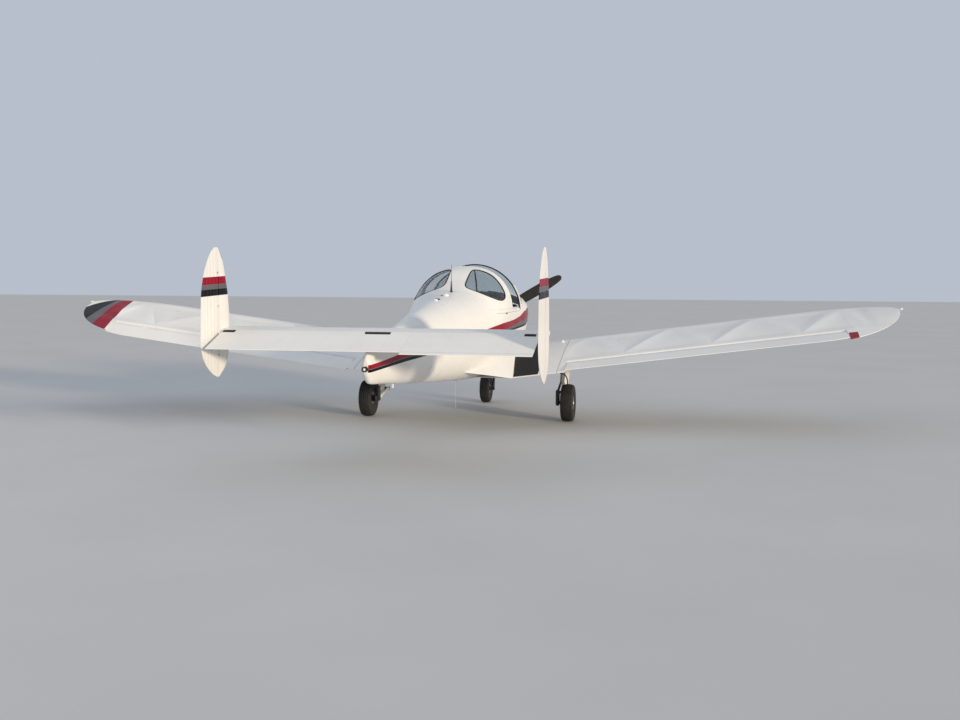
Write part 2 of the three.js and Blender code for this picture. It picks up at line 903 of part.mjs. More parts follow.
function wheel(name, side, centre, diameter, width, rimRadius, axleRadius, disc) {
  const depth = diameter / 2 - rimRadius;
  const half = tyreShares.map(([r, h]) => [rimRadius + r * depth, (h * width) / 2]);
  const section = [...half, ...[...half].reverse().map(([r, h]) => [r, -h])];
  piece(
    name + "_tyre",
    turned([...section, section[0]], centre, [1, 0, 0], wheelSides),
    paint.rubber,
    0.9,
  );
  const barrel = rimRadius - seatGap - 0.9;
  const edge = 0.35 * width;
  const hub = rimRadius * 0.45;
  const bore = axleRadius + 1;
  const outer = [
    [barrel, -edge],
    [barrel, edge],
    [barrel - 8, edge],
    [barrel - 12, edge - 20],
    [hub + 4, edge - 26],
    [hub, edge + 6],
    [bore, edge + 6],
    [bore, -disc],
  ];
  const inner =
    disc > edge + 10
      ? [
          [barrel, -disc],
          [barrel, -disc + 6],
          [hub, -disc + 6],
          [hub + 4, -12],
          [barrel - 12, -12],
          [barrel - 8, -edge],
        ]
      : [
          [hub, -disc],
          [hub + 4, -edge + 26],
          [barrel - 12, -edge + 20],
          [barrel - 8, -edge],
        ];
  const profile = [...outer, ...inner];
  piece(
    name + "_rim",
    turned([...profile, profile[0]], centre, [side, 0, 0], rimSides),
    paint.metal,
    0.4,
    0.6,
  );
}

const wingBelow = middleWing(jointX + 200, seatGap);
const mainAxleZ = axleHeight(mainTyreD);
const hoseRadius = 6.5;
// Leg sections: height, and x of the inner and outer faces.
const legRows = [
  [168, 1062, 1084],
  [215, 1044, 1086],
  [279, 1016, 1090],
  [380, 1018, 1092],
  [520, 1028, 1112],
  [740, 1032, 1140],
];
const legHalfDepth = 75;
// The brake hose's way from the strut over the tyre to the leg.
const hosePoints = [
  [1050, 24, 520],
  [1064, 52, 510],
  [1084, 106, 486],
  [1096, 166, 440],
  [1094, 204, 390],
  [1082, legY - legHalfDepth - 7.5, 350],
];
const pivotRadius = 16;
for (const [name, side] of sides) {
  const leg = loft(
    legRows.map(([z, inner, outer]) =>
      fixedOutline(legY + legHalfDepth, legY - legHalfDepth, (outer - inner) / 2).map(([y, h]) => [
        side * ((inner + outer) / 2 + h),
        y,
        z,
      ]),
    ),
  );
  const pivot = (radius) =>
    bar([side * (linkX - 44), legY, linkPivotZ], [side * (linkX + 60), legY, linkPivotZ], radius, 12);
  piece("main_leg_" + name, cut(leg, wingBelow, pivot(pivotRadius + 0.8)), paint.white);
  const hub = [side * linkX, 0, mainAxleZ];
  const hose = hosePoints.map(([x, y, z]) => [side * x, y, z]);
  const link = join(
    pivot(pivotRadius),
    bar([side * (linkX - 30), legY, linkPivotZ], hub, 15, 8),
    bar([side * (linkX - 20), 0, mainAxleZ], [side * (trackHalf + 56), 0, mainAxleZ], 14, 12),
    box(...[linkX - 20, linkX + 20].map((x) => side * x).sort((a, b) => a - b), -32, 30, 172, 338),
    box(...[linkX, trackHalf - 92].map((x) => side * x).sort((a, b) => a - b), -84, -30, 172, 232),
    bar([side * linkX, 0, 320], [side * strutX, 10, 424], 12, 8),
    bar([side * strutX, 10, 412], [side * (strutX + 6), 30, 700], 10, 8),
    bar([side * (strutX + 3), 22, 520], [side * (strutX + 6), 30, 700], 14, 8),
    ...hose.slice(1).map((to, k) => bar(hose[k], to, hoseRadius, 6)),
  );
  piece("trailing_link_" + name, cut(link, wingBelow), paint.black, 0.5);
}
for (const [name, side] of sides) {
  wheel("main_wheel_" + name, side, [side * trackHalf, 0, mainAxleZ], mainTyreD, mainTyreW, 80, 14, 82);
}

const noseAxleZ = axleHeight(noseTyreD);
const forkTop = 412;
wheel(
  "nose_wheel",
  -1,
  [noseWheelX, noseWheelY, noseAxleZ],
  noseTyreD,
  noseTyreW,
  66,
  12,
  noseTyreW / 2 - 4,
);
piece(
  "nose_fork",
  join(
    bar([0, steerY, stemTop], [0, steerY, 396], stemRadius, 16),
    bar([0, steerY, forkTop], [0, steerY, forkTop - 30], stemRadius + 10, 16),
    bar([0, steerY, forkTop - 14], [0, noseWheelY, noseAxleZ], 16, 12),
    bar([18, noseWheelY, noseAxleZ], [-18, noseWheelY, noseAxleZ], 24, 12),
    bar([0, noseWheelY, noseAxleZ], [noseWheelX - 48, noseWheelY, noseAxleZ], 12, 12),
  ),
  paint.black,
  0.5,
);
const legTube = bar([0, steerY, forkTop + 8], [0, steerY, engineLow - seatGap], stemRadius + 12, 16);
const braces = [-1, 1].map((s) =>
  bar([0, steerY, 665], [s * 215, firewallY + seatGap, 640], 13, 8),
);
piece(
  "nose_leg",
  cut(
    join(legTube, ...braces).intersect(aheadOfY(firewallY + seatGap)),
    bar([0, steerY, forkTop], [0, steerY, stemTop + 6], stemRadius + 0.8, 16),
  ),
  paint.black,
  0.5,
);

// Cockpit
const seatHalf = 425;
const boardZ = 700;
const boardBack = -610;
const cushionBack = -478;
const seatFrame = join(
  box(-seatHalf, seatHalf, boardBack, sparBack - seatGap, boardZ - 16, boardZ),
  ...[-1, 1].flatMap((s) =>
    [boardBack + 10, sparBack - 60].map((y) => box(s * 300 - 20, s * 300 + 20, y, y + 40, 460, boardZ)),
  ),
);
piece("seat_frame", seatFrame.intersect(cabinRoom(seatGap)), paint.metal, 0.5, 0.5);
const cushionOutline = [
  [cushionBack, boardZ + seatGap],
  [cushionBack, boardZ + 86],
  [cushionBack + 25, boardZ + 100],
  [sparBack - 60, boardZ + 118],
  [sparBack - 22, boardZ + 104],
  [sparBack - 8, boardZ + 70],
  [sparBack - 8, boardZ + seatGap],
];
const backOutline = [
  [cushionBack - seatGap - 1, boardZ + seatGap],
  [boardBack + 24, boardZ + seatGap],
  [boardBack - 70, 1190],
  [boardBack - 60, 1212],
  [boardBack + 2, 1212],
  [boardBack + 16, 1190],
];
for (const [name, outline] of [
  ["seat_cushion", cushionOutline],
  ["seat_back", backOutline],
]) {
  const pad = prism(outline, -seatHalf, seatHalf, (y, z, x) => [x, y, z]);
  piece(name, pad.intersect(cabinRoom(5)), 0x4a4642, 0.9);
}
piece(
  "instrument_panel",
  cabinRoom(seatGap).intersect(box(-far, far, panelY + 12, panelY + 34, 900, far)),
  paint.black,
  0.6,
);
const yokeRing = [
  [122, 0],
  [131, -9],
  [140, 0],
  [131, 9],
  [122, 0],
];
for (const [name, side] of sides) {
  const middle = [side * 235, panelY - 90, 1060];
  piece(
    "control_wheel_" + name,
    join(
      turned(yokeRing, middle, [0, 1, 0], 16),
      bar([middle[0] - 130, middle[1], middle[2]], [middle[0] + 130, middle[1], middle[2]], 8, 8),
      bar([middle[0], middle[1] - 12, middle[2]], [middle[0], panelY + 12 - seatGap, middle[2]], 16, 12),
    ),
    paint.black,
    0.5,
  );
}

// The aircraft stands centred on its length.
const foremost = propY + 136;
const rearmost = Math.min(...droopedOutline(elevatorDeepChord).map(([y]) => y));
group.position.y = -(foremost + rearmost) / 2;

export default group;
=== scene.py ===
from math import asin, cos, hypot, pi, radians, sin, sqrt, tan

import bmesh
import bpy
import numpy as np
from mathutils import Matrix, Vector
from mathutils.bvhtree import BVHTree


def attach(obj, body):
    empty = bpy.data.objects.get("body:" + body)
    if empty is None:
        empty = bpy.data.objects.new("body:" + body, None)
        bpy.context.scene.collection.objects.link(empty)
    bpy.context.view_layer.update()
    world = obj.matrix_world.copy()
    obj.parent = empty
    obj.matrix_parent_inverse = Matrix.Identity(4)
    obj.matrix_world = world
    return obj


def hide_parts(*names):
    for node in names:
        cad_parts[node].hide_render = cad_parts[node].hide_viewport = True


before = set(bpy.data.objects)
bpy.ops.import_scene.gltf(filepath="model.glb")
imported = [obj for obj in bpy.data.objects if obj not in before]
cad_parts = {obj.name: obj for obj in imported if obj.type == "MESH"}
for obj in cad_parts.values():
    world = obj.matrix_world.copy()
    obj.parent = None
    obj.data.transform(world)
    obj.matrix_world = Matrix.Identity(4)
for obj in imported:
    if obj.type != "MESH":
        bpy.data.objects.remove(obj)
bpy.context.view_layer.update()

scene = bpy.context.scene

# Places and sizes shared by several pieces
TRAIL_Y = -694
TRAIL_Z = 524
CHORD = 1524
INCIDENCE = radians(5.75)
DIHEDRAL = radians(7.4)
BREAK_X = 620
JOINT_X = 1083
TIP_START = 3106
TIP_SPAN = 880
TIP_Y = 150
TRAIL_EDGE = 6
AILERON_IN = 555
AILERON_OUT = 3380
AILERON_CHORD = 270
AILERON_TILT = radians(4.5)
AILERON_HINGES = (771, 1851, 3011)
RUN_GAP = 6
TAIL_HINGE_Y = -3600
TAIL_HINGE_Z = 1124
ELEVATOR_DEPTH = 385
ELEVATOR_DEEP = 428
ELEVATOR_DROOP = radians(18.3)
TAIL_EDGE = 5
FIN_X = 1345
FIN_HALF = 15
FIN_HINGES = (930, 1330, 1600)
BELLY_Z = 560
RAIL_Z = 1228
PANEL_Y = 600
REAR_FRAME_Y = -825
HOOP_Y = -100
SCREEN_Y = 450
FIREWALL_Y = 1150
BOWL_Y = 1960
COWL_SPLIT_Z = 1010
STEER_Y = 1700
PROP_Y = 2215
PROP_Z = 1120
SIDES = (("left", -1), ("right", 1))
UP = (0, 0, 1)
AHEAD = (0, 1, 0)
foremost = PROP_Y + 136
rearmost = (
    TAIL_HINGE_Y
    - ELEVATOR_DEEP * cos(ELEVATOR_DROOP)
    - TAIL_EDGE / 2 * sin(ELEVATOR_DROOP)
)
SHIFT = -(foremost + rearmost) / 2


def place(point):
    """A point in millimetres from the main axle as one in metres in the object's frame."""
    return (point[0] / 1000, (point[1] + SHIFT) / 1000, point[2] / 1000)


# Camera, as solved from the photograph

CAMERA_AT = (2539, -12435, 1605)
FOCAL_PIXELS, PICTURE_PIXELS = 1153.1, 960
yaw, pitch, roll = 0.18995, -0.07525, 0.0039
level = cos(pitch)
forward = Vector((-sin(yaw) * level, cos(yaw) * level, sin(pitch)))
level_right = forward.cross(Vector((0, 0, 1))).normalized()
level_up = level_right.cross(forward)
cam_right = cos(roll) * level_right + sin(roll) * level_up
cam_up = cos(roll) * level_up - sin(roll) * level_right
camera = bpy.data.objects.new("camera", bpy.data.cameras.new("camera"))
camera.data.sensor_width = 36
camera.data.lens = camera.data.sensor_width * FOCAL_PIXELS / PICTURE_PIXELS
camera.data.clip_end = 200
turn = Matrix((cam_right, cam_up, -forward)).transposed()
camera.matrix_world = Matrix.Translation(place(CAMERA_AT)) @ turn.to_4x4()
scene.collection.objects.link(camera)
scene.camera = camera


# Shader helpers


class Shader:
    """A material's nodes, with short ways to write sums over its surface."""

    def __init__(self, name):
        self.material = bpy.data.materials.new(name)
        self.material.use_nodes = True
        self.tree = self.material.node_tree
        self.out = self.tree.nodes["Principled BSDF"]
        self._axes = None

    def node(self, kind, **values):
        """A new node; names with a capital are its inputs, and the others its settings."""
        made = self.tree.nodes.new("ShaderNode" + kind)
        self.fill(made, values)
        return made

    def fill(self, node, values):
        for key, value in values.items():
            if key[0].islower():
                setattr(node, key, value)
            else:
                self.put(node.inputs[key.replace("_", " ")], value)

    def put(self, socket, value):
        if isinstance(value, bpy.types.NodeSocket):
            self.tree.links.new(value, socket)
        else:
            socket.default_value = value

    def sum(self, operation, *values, clamp=False):
        made = self.node("Math", operation=operation, use_clamp=clamp)
        for socket, value in zip(made.inputs, values):
            self.put(socket, value)
        return made.outputs[0]

    def axis(self, which):
        """The place along X, Y or Z in metres, Y from the main axle."""
        if self._axes is None:
            self.where = self.node("TexCoord").outputs["Object"]
            split = self.node("SeparateXYZ", Vector=self.where)
            self._axes = {"X": split.outputs[0], "Z": split.outputs[2]}
            self._axes["Y"] = self.sum("SUBTRACT", split.outputs[1], SHIFT / 1000)
        return self._axes[which]

    def over(self, value, edge, soft=0.0015):
        """1 where value is above edge, 0 below it."""
        gap = self.sum("SUBTRACT", value, edge)
        return self.sum("MULTIPLY_ADD", gap, 1 / soft, 0.5, clamp=True)

    def between(self, value, low, high, soft=0.0015):
        return self.times(self.over(value, low, soft), self.over(high, value, soft))

    def fold(self, operation, first, *rest):
        for value in rest:
            first = self.sum(operation, first, value)
        return first

    def times(self, *values):
        return self.fold("MULTIPLY", *values)

    def most(self, *values):
        return self.fold("MAXIMUM", *values)

    def scaled(self, value, factor, offset):
        """value * factor + offset"""
        return self.sum("MULTIPLY_ADD", value, factor, offset)

    def along(self, value, points):
        """A height that follows (place, height) points, in straight runs."""
        low, high = points[0][0], points[-1][0]
        share = self.ramp(value, low, high, 0, 1)
        ramp = self.node("ValToRGB")
        stops = ramp.color_ramp.elements
        while len(stops) < len(points):
            stops.new(0.5)
        for stop, (at, _) in zip(stops, points):
            stop.position = (at - low) / (high - low)
        for stop, (_, height) in zip(stops, points):
            stop.color = (height / 4,) * 3 + (1,)
        self.put(ramp.inputs[0], share)
        return self.times(self.node("SeparateColor", Color=ramp.outputs[0]).outputs[0], 4.0)

    def noise(self, scale, detail=3.0, rough=0.5, stretch=None):
        self.axis("X")
        where = self.where
        if stretch:
            where = self.node("Mapping", Scale=stretch, Vector=where).outputs[0]
        values = {"Scale": scale, "Detail": detail, "Roughness": rough, "Vector": where}
        return self.node("TexNoise", **values).outputs[0]

    def ramp(self, value, low, high, low_out, high_out):
        """value from the range low to high, moved to another range"""
        ends = {"From_Min": low, "From_Max": high, "To_Min": low_out, "To_Max": high_out}
        return self.node("MapRange", Value=value, **ends).outputs[0]

    def mix(self, mask, below, above):
        below, above = ((*c, 1) if isinstance(c, tuple) else c for c in (below, above))
        made = self.node("Mix", data_type="RGBA", Factor=mask, A=below, B=above)
        return made.outputs["Result"]

    def mottled(self, color, amount=0.05, scale=3.0):
        """The colour with a soft change over the surface."""
        dark = tuple(c * (1 - amount) for c in color)
        light = tuple(min(c * (1 + amount * 0.6), 1) for c in color)
        return self.mix(self.ramp(self.noise(scale), 0.3, 0.7, 0, 1), dark, light)

    def rough(self, low, high, scale=12.0):
        self.put(self.out.inputs["Roughness"], self.ramp(self.noise(scale, 5), 0.3, 0.7, low, high))

    def bump(self, height, strength, distance):
        made = self.node("Bump", Strength=strength, Distance=distance, Height=height)
        previous = self.out.inputs["Normal"]
        if previous.links:
            self.put(made.inputs["Normal"], previous.links[0].from_socket)
        self.put(previous, made.outputs[0])

    def set(self, **values):
        self.fill(self.out, values)

    def stripes(self, base, value, edges, *within):
        """Red, grey and black bands over base, between edges from the highest to the lowest."""
        for high, low, color in zip(edges, edges[1:], (RED, GREY, BLACK)):
            band = self.times(self.between(value, low, high), *within)
            base = self.mix(band, base, self.mottled(color, 0.12, 5))
        return base

    def dots(self, across, at, along, pitch, radius=0.004):
        """A row of round fasteners along one line."""
        step = self.sum("PINGPONG", along, pitch / 2)
        gap = self.sum("SUBTRACT", across, at)
        reach = self.sum("SQRT", self.sum("ADD", self.times(step, step), self.times(gap, gap)))
        return self.over(radius, reach, 0.001)

    def painted(self, color):
        """The finished material, with its base colour."""
        self.set(Base_Color=color)
        return self.material


WHITE = (0.82, 0.805, 0.77)
RED = (0.27, 0.004, 0.018)
GREY = (0.12, 0.12, 0.13)
BLACK = (0.006, 0.006, 0.008)
SEAL = (0.02, 0.02, 0.02)


def paint_shader(name, cloth=False):
    """White gloss paint and its base colour, which the marks of each surface are laid on."""
    made = Shader(name)
    base = made.mottled(WHITE, 0.035, 1.7)
    grime = made.ramp(made.noise(9, 6, 0.65), 0.52, 0.8, 0, 0.18)
    base = made.mix(grime, base, (0.6, 0.58, 0.53))
    made.rough(0.26, 0.4, 6)
    made.set(Coat_Weight=0.02, Coat_Roughness=0.12, Specular_IOR_Level=0.07)
    made.bump(made.noise(2.6, 2), 0.12, 0.004)
    if cloth:
        threads = []
        for way in "XY":
            wave = {"wave_type": "BANDS", "bands_direction": way, "Scale": 260}
            threads.append(made.node("TexWave", Vector=made.where, **wave).outputs["Fac"])
        made.bump(made.sum("ADD", *threads), 0.1, 0.0003)
    return made, base


# Height of the fuselage stripes' edges, as (place along, height) from the tail light forward.
STRIPE_EDGES = [
    [  # top of the red stripe
        (-3.9, 0.893), (-3.6, 0.915), (-3.28, 0.944), (-2.2, 0.992), (-1.14, 1.038), (-0.57, 1.087),
        (0.0, 1.102), (0.39, 1.127), (0.71, 1.17), (1.2, 1.185), (2.2, 1.185),
    ],
    [  # top of the grey one
        (-3.9, 0.86), (-3.58, 0.879), (-3.21, 0.908), (-0.6, 1.013), (-0.14, 1.03),
        (0.36, 1.06), (0.71, 1.067), (2.2, 1.09),
    ],
    [  # top and bottom of the black one
        (-3.9, 0.857), (-3.58, 0.876), (-3.21, 0.902), (-0.52, 1.009), (0.33, 1.017), (2.2, 1.05),
    ],
    [(-3.9, 0.834), (-3.56, 0.854), (-3.21, 0.873), (-2.7, 0.893), (-0.42, 0.985), (2.2, 1.015)],
]


def body_paint():
    made, base = paint_shader("body_paint")
    x, y, z = made.axis("X"), made.axis("Y"), made.axis("Z")
    edges = [made.along(y, rows) for rows in STRIPE_EDGES]
    # the stripes end a little further back on the right side
    end = made.scaled(made.over(x, 0), -0.0145, -3.884)
    base = made.stripes(base, z, edges, made.over(y, end))
    turn = made.times(made.sum("ARCTAN2", x, made.sum("SUBTRACT", z, 0.95)), 0.42)
    firewall, split = FIREWALL_Y / 1000, COWL_SPLIT_Z / 1000
    seams = made.most(
        made.dots(y, firewall + 0.02, turn, 0.11, 0.006),
        made.times(made.dots(z, split + 0.018, y, 0.11, 0.006), made.over(y, firewall)),
        made.times(made.dots(z, split - 0.018, y, 0.11, 0.006), made.over(y, firewall)),
        made.between(y, -2.503, -2.4995),
        made.times(made.between(z, 1.186, 1.1895), made.between(y, -0.72, 0.42)),
    )
    base = made.mix(made.times(seams, 0.75), base, (0.06, 0.06, 0.06))
    made.bump(made.sum("SUBTRACT", 1.0, seams), 0.4, 0.001)
    # painted shade: the lower body under the wing darker and browner towards the bottom, in soft
    # streaks running fore and aft
    belly_shade = made.times(
        made.ramp(made.noise(2.5, 5, 0.6, stretch=(3, 0.35, 1)), 0.45, 0.75, 0, 0.5),
        made.over(0.62, z, 0.12),
        made.between(y, -1.2, 1.6, 0.5),
    )
    return made.painted(made.mix(belly_shade, base, (0.33, 0.29, 0.24)))


FIN_BANDS = (1.56, 1.498, 1.461, 1.407)  # heights of the edges of the fins' bands


def fin_paint(name="fin_paint", tab=False):
    made, base = paint_shader(name)
    x, y, z = made.axis("X"), made.axis("Y"), made.axis("Z")
    across = made.sum("ABSOLUTE", x)
    base = made.stripes(base, made.sum("SUBTRACT", z, made.scaled(y, 0.03, 0.117)), FIN_BANDS)
    # black along the front edge of the fins' tops
    edge = made.scaled(z, -0.83, -3.485 + 1.7 * 0.83 - 0.012)
    cap = made.times(made.over(y, edge), made.between(z, 1.7, 1.8, 0.004))
    base = made.mix(cap, base, BLACK)
    rivets = made.most(*(made.dots(across, at, y, 0.04, 0.0025) for at in (0.62, 0.12, 1.12)))
    if tab:
        line = made.times(made.between(y, -3.9675, -3.9645), made.over(x, 0.29))
        rivets = made.most(rivets, line)
    base = made.mix(made.times(rivets, 0.6), base, (0.1, 0.1, 0.1))
    beads = made.between(made.sum("PINGPONG", made.sum("ADD", y, 3.66), 0.03), 0.018, 0.04, 0.008)
    upright = made.times(
        made.over(-3.63, y, 0.01), made.over(y, -3.87, 0.01), made.over(across, 1.325)
    )
    made.bump(made.times(beads, upright), 0.5, 0.003)
    return made.painted(base)


# Lines across the left wing tip: x at y = -0.4 and at y = +0.3, between the bands.
TIP_BANDS = [(-4.03, -4.177), (-4.205, -4.31), (-4.325, -4.345), (-4.62, -4.42)]


def wing_paint():
    made, base = paint_shader("wing_paint", cloth=True)
    x, y = made.axis("X"), made.axis("Y")
    share = made.ramp(y, -0.4, 0.3, 0, 1)
    share.node.clamp = False
    across = made.sum("ABSOLUTE", x)
    ragged = made.scaled(made.noise(22, 2), 0.008, made.sum("SUBTRACT", across, 0.004))
    seal = made.over(1.0855, ragged)
    base = made.mix(made.times(seal, 0.6), base, SEAL)
    tape = made.most(*(
        made.times(made.between(y, *edges), made.over(across, 1.12))
        for edges in ((0.497, 0.523), (-0.345, -0.318))
    ))
    base = made.mix(made.times(tape, 0.14), base, (0.45, 0.44, 0.42))
    made.bump(tape, 0.25, 0.0006)
    v = made.ramp(y, -0.33, 0.5, 0, 1)
    # the ribs' pattern repeats along the wing: from its first rib to the next is one turn
    phase = made.ramp(across, 0.594 + 1.155 * 0.9917, 0.594 + 2.06 * 0.9917, 10, 11)
    phase = made.sum("FRACT", phase)
    phase.node.inputs[0].links[0].from_node.clamp = False
    past = made.scaled(v, -0.5, phase)
    field = made.times(made.between(v, 0.03, 0.97, 0.05), made.between(across, 1.16, 3.75, 0.2))
    # painted highlight and painted shade on the cloth between the slanting ribs: lighter just past
    # each rib line, fading away, and bluish darker just before it
    painted_rib_highlight = made.times(made.over(past, 0, 0.006), made.ramp(past, 0, 0.25, 0.5, 0), field)
    dark = made.times(made.over(0, past, 0.006), made.ramp(past, -0.2, 0, 0, 0.34), field)
    # painted highlight just outboard of the tip rib's line
    end = made.scaled(y, 0.071, made.sum("SUBTRACT", across, 4.024))
    rib = made.times(
        made.ramp(end, 0, 0.16, 0.5, 0), made.over(end, 0, 0.004), made.between(y, -0.4, 0.3, 0.1)
    )
    # lay on the painted highlights, then the painted shade
    base = made.mix(made.most(painted_rib_highlight, rib), base, (0.93, 0.92, 0.9))
    base = made.mix(dark, base, (0.5, 0.53, 0.6))
    lines = [made.scaled(share, b - a, a) for a, b in TIP_BANDS]
    base = made.stripes(base, x, lines)
    patch = made.times(made.between(x, 3.977, 4.066), made.over(-0.465, y))
    base = made.mix(patch, base, RED)
    return made.painted(base)


def root_paint():
    made, base = paint_shader("root_paint")
    x, y = made.axis("X"), made.axis("Y")
    across = made.sum("ABSOLUTE", x)
    facing = made.node("NewGeometry").outputs["Normal"]
    upward = made.node("SeparateXYZ", Vector=facing).outputs[2]
    inner = made.scaled(y, -0.12, 0.628 - 0.12 * 0.68)
    outer = made.sum("MINIMUM", made.scaled(y, -0.3, 0.915), 0.885)
    place_on = made.times(made.between(across, inner, outer), made.between(y, -0.68, 0.56))
    walk = made.times(place_on, made.over(upward, 0.3, 0.1))
    grit = made.noise(700, 2)
    grip = made.mix(made.ramp(grit, 0.35, 0.65, 0, 1), (0.012, 0.012, 0.013), (0.045, 0.045, 0.045))
    base = made.mix(walk, base, grip)
    made.bump(made.times(walk, grit), 0.5, 0.001)
    made.set(Roughness=made.scaled(walk, 0.5, 0.32))
    seal = made.over(made.scaled(made.noise(22, 2), 0.008, across), 1.0838)
    base = made.mix(made.times(seal, 0.6), base, SEAL)
    return made.painted(base)


def plain(
    name, color, low, high, metal=0.0, amount=0.08, scale=20.0, grain=300.0, depth=0.0003, **more
):
    """A plain material with small changes of colour, gloss and surface."""
    made = Shader(name)
    made.rough(low, high, scale)
    made.set(Metallic=metal, **more)
    made.bump(made.noise(grain, 3), 0.25, depth)
    return made.painted(made.mottled(color, amount, scale))


def tyre_shader():
    made = Shader("tyre_rubber")
    base = made.mottled((0.022, 0.021, 0.021), 0.25, 14)
    dust = made.ramp(made.noise(30, 6, 0.7), 0.5, 0.8, 0, 0.14)
    made.rough(0.72, 0.92, 25)
    made.bump(made.noise(900, 2), 0.3, 0.0004)
    return made.painted(made.mix(dust, base, (0.12, 0.1, 0.08)))


def cloth_shader(name, color):
    made = Shader(name)
    base = made.mottled(color, 0.16, 9)
    made.rough(0.6, 0.8, 30)
    cells = made.node("TexVoronoi", Scale=420, Vector=made.where)
    made.bump(cells.outputs["Distance"], 0.35, 0.0006)
    made.set(Sheen_Weight=0.15)
    return made.painted(base)


def glass_shader(name, tint):
    made = Shader(name)
    made.set(Transmission_Weight=1.0, IOR=1.2)
    made.set(Roughness=made.ramp(made.noise(6, 5), 0.4, 0.8, 0.01, 0.05))
    made.bump(made.noise(5, 2), 0.04, 0.002)
    return made.painted(made.mottled(tint, 0.04, 4))


mats = {
    "body": body_paint(),
    "fin": fin_paint(),
    "elevator": fin_paint("elevator_paint", tab=True),
    "wing": wing_paint(),
    "root": root_paint(),
    "tyre": tyre_shader(),
    "metal": plain("bare_aluminium", (0.6, 0.61, 0.62), 0.22, 0.42, metal=1.0, scale=40),
    "rim": plain("rim_aluminium", (0.52, 0.52, 0.52), 0.3, 0.5, metal=0.9, scale=30),
    "steel": plain("black_steel", (0.022, 0.022, 0.024), 0.32, 0.5, scale=30),
    "engine": plain("cast_metal", (0.13, 0.13, 0.135), 0.5, 0.7, metal=0.7, scale=18),
    "frame": plain("black_frame", (0.016, 0.016, 0.018), 0.25, 0.4, scale=16),
    "seal": plain("rubber_seal", SEAL, 0.55, 0.75, scale=40),
    "lining": cloth_shader("cabin_lining", (0.19, 0.17, 0.15)),
    "seat": cloth_shader("seat_cloth", (0.1, 0.085, 0.075)),
    "piping": cloth_shader("seat_piping", (0.035, 0.03, 0.03)),
    "panel": plain("panel_crackle", (0.02, 0.02, 0.022), 0.5, 0.7, grain=240, depth=0.0008),
    "dial": plain("dial_face", (0.012, 0.012, 0.013), 0.3, 0.4),
    "mark": plain("dial_marks", (0.75, 0.75, 0.7), 0.4, 0.5),
    "plastic": plain("black_plastic", (0.018, 0.018, 0.02), 0.35, 0.5, scale=30),
    "lamp": plain("lamp_white", (0.85, 0.84, 0.8), 0.08, 0.16, Coat_Weight=0.6),
    "glass": glass_shader("clear_glass", (0.86, 0.9, 0.9)),
    "smoke": glass_shader("window_glass", (0.62, 0.65, 0.64)),
    "blade": plain(
        "dark_blade", (0.03, 0.026, 0.022), 0.4, 0.62, amount=0.25, scale=14, Specular_IOR_Level=0.2
    ),
}


# Shape helpers


def corner_turns(x0, x1, y0, y1, r, n):
    """Centre and angle of each point round a rectangle's corners, n steps to a corner."""
    centres = ((x1 - r, y1 - r), (x0 + r, y1 - r), (x0 + r, y0 + r), (x1 - r, y0 + r))
    for quarter, (x, y) in enumerate(centres):
        for k in range(n + 1):
            yield x, y, quarter * pi / 2 + k * pi / 2 / n


def circle(centre, radius, one, two, sides):
    """Points round a centre in the plane of two directions."""
    turns = (2 * pi * k / sides for k in range(sides))
    return [centre + radius * (cos(t) * one + sin(t) * two) for t in turns]


